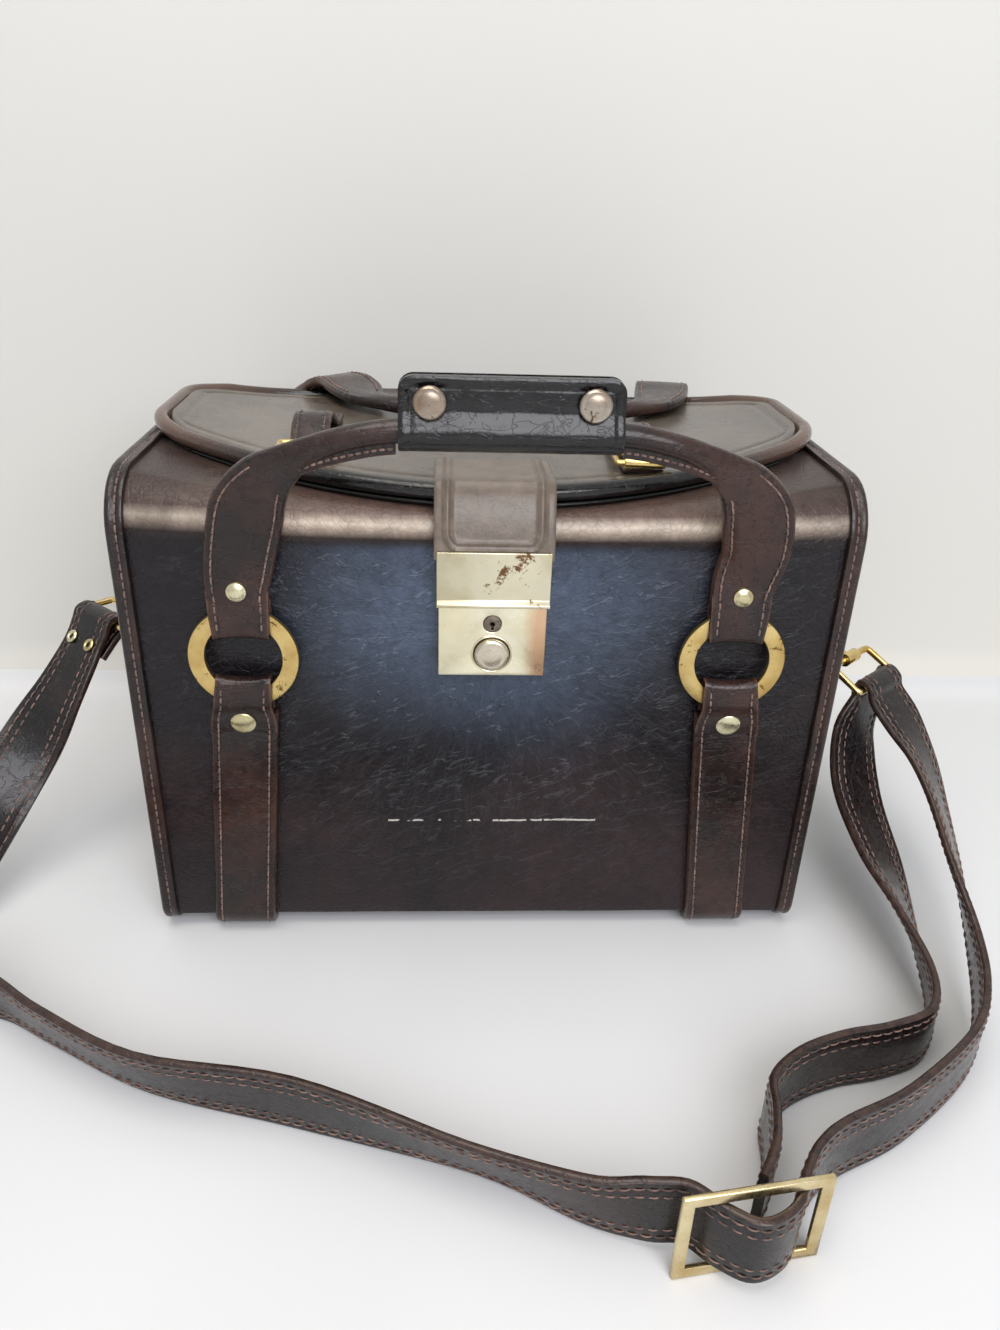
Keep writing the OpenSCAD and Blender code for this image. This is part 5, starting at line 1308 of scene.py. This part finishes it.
# Handles
for side, word, rows, shift in ((-1, "front", FRONT_ROWS, GRIP_X), (1, "rear", REAR_ROWS, 12)):
    body = word + "_handle"
    spine = handle_spine(rows, side, shift, side > 0)
    finish(strap(word + "_handle_sewn", spine), strap_leather, body, "strap_leather", word + "_handle")
    middle = len(spine) // 2
    lines = [sewing_line(part, SEAM, s, f) for part in (spine[:middle], spine[middle:]) for s in (-1, 1)
             for f in (-1, 1)]
    finish(thread(word + "_handle_stitches", lines), thread_tan, body, "strap_leather")
    drop = Vector((0, 0, -1)) if side < 0 else Vector((0, 1, 0))
    flange, flange_thread = seam_flange(word + "_handle_seam", spine, drop)
    finish(flange, strap_leather, body, "strap_leather")
    finish(flange_thread, thread_tan, body, "strap_leather")
    finish(ring_pair(word + "_rings_banded", side), ring_brass, body, "brass", word + "_rings")
    # The upper loops ride on the handle, and the lower ones lie between it and the case
    flex = ("case", body, (0, side * 92, FLEX_Z - 4), (0, side * 92, FLEX_Z + 3))
    for up, place, loops, stitches, nodes in (
            (1, body, "_strap_loops_folded", "_loop_stitches", [word + "_strap_loops"]),
            (-1, flex, "_base_loops_folded", "_base_loop_stitches", [])):
        made = [folded_loop(k, side, up) for k in (-1, 1)]
        finish(join(word + loops, made), strap_leather, place, "strap_leather", *nodes)
        finish(thread(word + stitches, loop_sewing(side, up)), thread_tan, place, "strap_leather")
    made = [rivet((k * RING_X, RING_Y[side] + side * 2.5, RING_Z + 27.5), (0, side, 0), 3.8, 2.2)
            for k in (-1, 1)]
    finish(join(word + "_handle_rivets_domed", made), rivet_brass, body, "brass", word + "_handle_rivets")
finish(grip_half("grip_flap_bordered", 1), grip_leather, "grip_flap", "grip_leather", "grip_flap")
finish(grip_half("grip_back_bordered", -1), grip_leather, "front_handle", "grip_leather", "grip_back")
cap = [(0, 0), (0, 3), (1.2, 3), (1.3, 5.1), (1.6, 5.4), (2.4, 5.4), (3.0, 5.1), (3.3, 4.6), (3.25, 4.3),
       (3.6, 3.2), (3.85, 1.7), (3.95, 0)]
made = [turned("cap", cap, (GRIP_X + k * 26, GRIP_Y - 3.4, GRIP_Z + 10.2), (0, -1, 0), 40) for k in (-1, 1)]
finish(join("snap_caps_domed", made), cap_nickel, "grip_flap", "button_metal", "snap_caps")

# Shoulder strap
spine = spine_of(sling_route(), 6, SLING_W, SLING_T)
finish(strap("shoulder_strap_sewn", spine, margin=SLING_SEAMS[0], groove=0.22), sling_leather, "sling",
       "strap_leather", "shoulder_strap")
lines = [sewing_line(spine, inset, s, f) for inset in SLING_SEAMS for s in (-1, 1) for f in (-1, 1)]
finish(thread("shoulder_strap_stitches", lines, pitch=4.4), thread_tan, "sling", "strap_leather")
out = LEFT_ALONG.cross(LEFT_DOWN).normalized()
eyelet = [(0, 1.3), (0, 3.0), (0.5, 3.0), (0.95, 2.6), (1.1, 2.1), (0.9, 1.6), (0.4, 1.3), (0, 1.3)]
made = [turned("eyelet", eyelet, LEFT_BAR + LEFT_DOWN * 13 - out * 3.6 + LEFT_ALONG * k * 7, -out, 28)
        for k in (-1, 1)]
finish(join("strap_rivets_eyelets", made), rivet_brass, "sling", "brass", "strap_rivets")
for word, eye, bar, along in (("left", LEFT_EYE, LEFT_BAR, LEFT_ALONG),
                              ("right", RIGHT_EYE, RIGHT_BAR, RIGHT_ALONG)):
    finish(wire_loop(word + "_strap_loop_wire", eye, bar, along), bright_brass, "sling", "brass",
           word + "_strap_loop")


# Floor and backdrop
def stage():
    """White cloth, its upright part a little warmer towards its foot and greyer higher up"""
    made, tree, place = new_material("cloth_backdrop", Roughness=0.95)
    blotch = add(tree, "TexNoise", {"Vector": place, "Scale": per(384.6), "Detail": 3})
    tint = add(tree, "MapRange", [blotch, 0.35, 0.65])
    floor = add(tree, "Mix", {0: tint, 6: "#d3d5d6", 7: "#dedfe0"}, data_type="RGBA")
    height = add(tree, "SeparateXYZ", [place], take="Z")
    rise = add(tree, "MapRange", [height, 0.02, 0.32])
    mottled = add(tree, "Math", [tint, 0.3, rise], "MULTIPLY_ADD")
    wall = add(tree, "Mix", {0: mottled, 6: "#d9d7d0", 7: "#d2d2ce"}, data_type="RGBA")
    upright = add(tree, "Math", [height, 0.003], "GREATER_THAN")
    connect(made, Base_Color=add(tree, "Mix", {0: upright, 6: floor, 7: wall}, data_type="RGBA"))
    # From behind, the cloth lets the camera through
    rear = add(tree, "Math", [add(tree, "NewGeometry", take="Backfacing"),
                              add(tree, "LightPath", take="Is Camera Ray")], "MULTIPLY")
    surface = tree.nodes["Principled BSDF"].outputs[0]
    both = add(tree, "MixShader", [rear, surface, add(tree, "BsdfTransparent")])
    tree.links.new(both, tree.nodes["Material Output"].inputs[0])
    bpy.ops.mesh.primitive_grid_add(x_subdivisions=120, y_subdivisions=160, size=1)
    cloth = bpy.context.object
    cloth.name = "backdrop_cloth"
    wide, deep, front, wall_y, curve = 5000, 4200, -2000, 150, 6
    for v in cloth.data.vertices:
        x = v.co.x * wide
        run = (v.co.y + 0.5) * deep + front
        if run < wall_y - curve:
            y, z = run, 0
        elif run < wall_y + curve:
            a = (run - wall_y + curve) / (2 * curve) * math.pi / 2
            y, z = wall_y - curve + curve * math.sin(a), curve * (1 - math.cos(a))
        else:
            y, z = wall_y, run - wall_y
        fold = 5 * noise.noise(Vector((x / 90, z / 700, 3))) * min(1, z / 150) if z > 0 else 0
        v.co = Vector((x, y + fold, FLOOR_Z + z - 0.1)) * MM
    cloth.data.materials.append(made)
    pick(cloth)
    bpy.ops.object.shade_smooth()


stage()


# Light: a plain pale room, a wide lamp above and another in front
def lamp(name, place, aim, size, power, colour):
    """A round area lamp, in metres and watts, turned towards a place"""
    bpy.ops.object.light_add(type="AREA", location=place)
    made = bpy.context.object
    made.name = name
    made.data.shape = "DISK"
    made.data.size = size
    made.data.energy = power
    made.data.color = srgb(colour)[:3]
    made.rotation_euler = (Vector(aim) - Vector(place)).to_track_quat("-Z", "Y").to_euler()


ROOM_LIGHT, ROOM_SEEN = 0.42, 0.8
world = bpy.data.worlds.new("room")
bpy.context.scene.world = world
world.use_nodes = True
room = world.node_tree
rays = add(room, "LightPath").node.outputs
seen = add(room, "Math", [rays["Is Camera Ray"], rays["Is Glossy Ray"]], "ADD")
seen = add(room, "Math", [seen, rays["Is Transmission Ray"]], "ADD")
level = add(room, "MapRange", {0: seen, 3: ROOM_LIGHT, 4: ROOM_SEEN})
room.nodes["Background"].inputs[0].default_value = srgb("#f4f5f7")
room.links.new(level, room.nodes["Background"].inputs[1])
lamp("lamp_above", (-0.15, -0.3, 1.2), (0, -0.02, 0.1), 0.8, 6.5, "#fff8f0")
lamp("lamp_front", (0.3, -1.3, 0.95), (0, 0, 0.12), 1.2, 19, "#fafaff")
bpy.context.scene.view_settings.view_transform = "Standard"

bpy.context.view_layer.update()
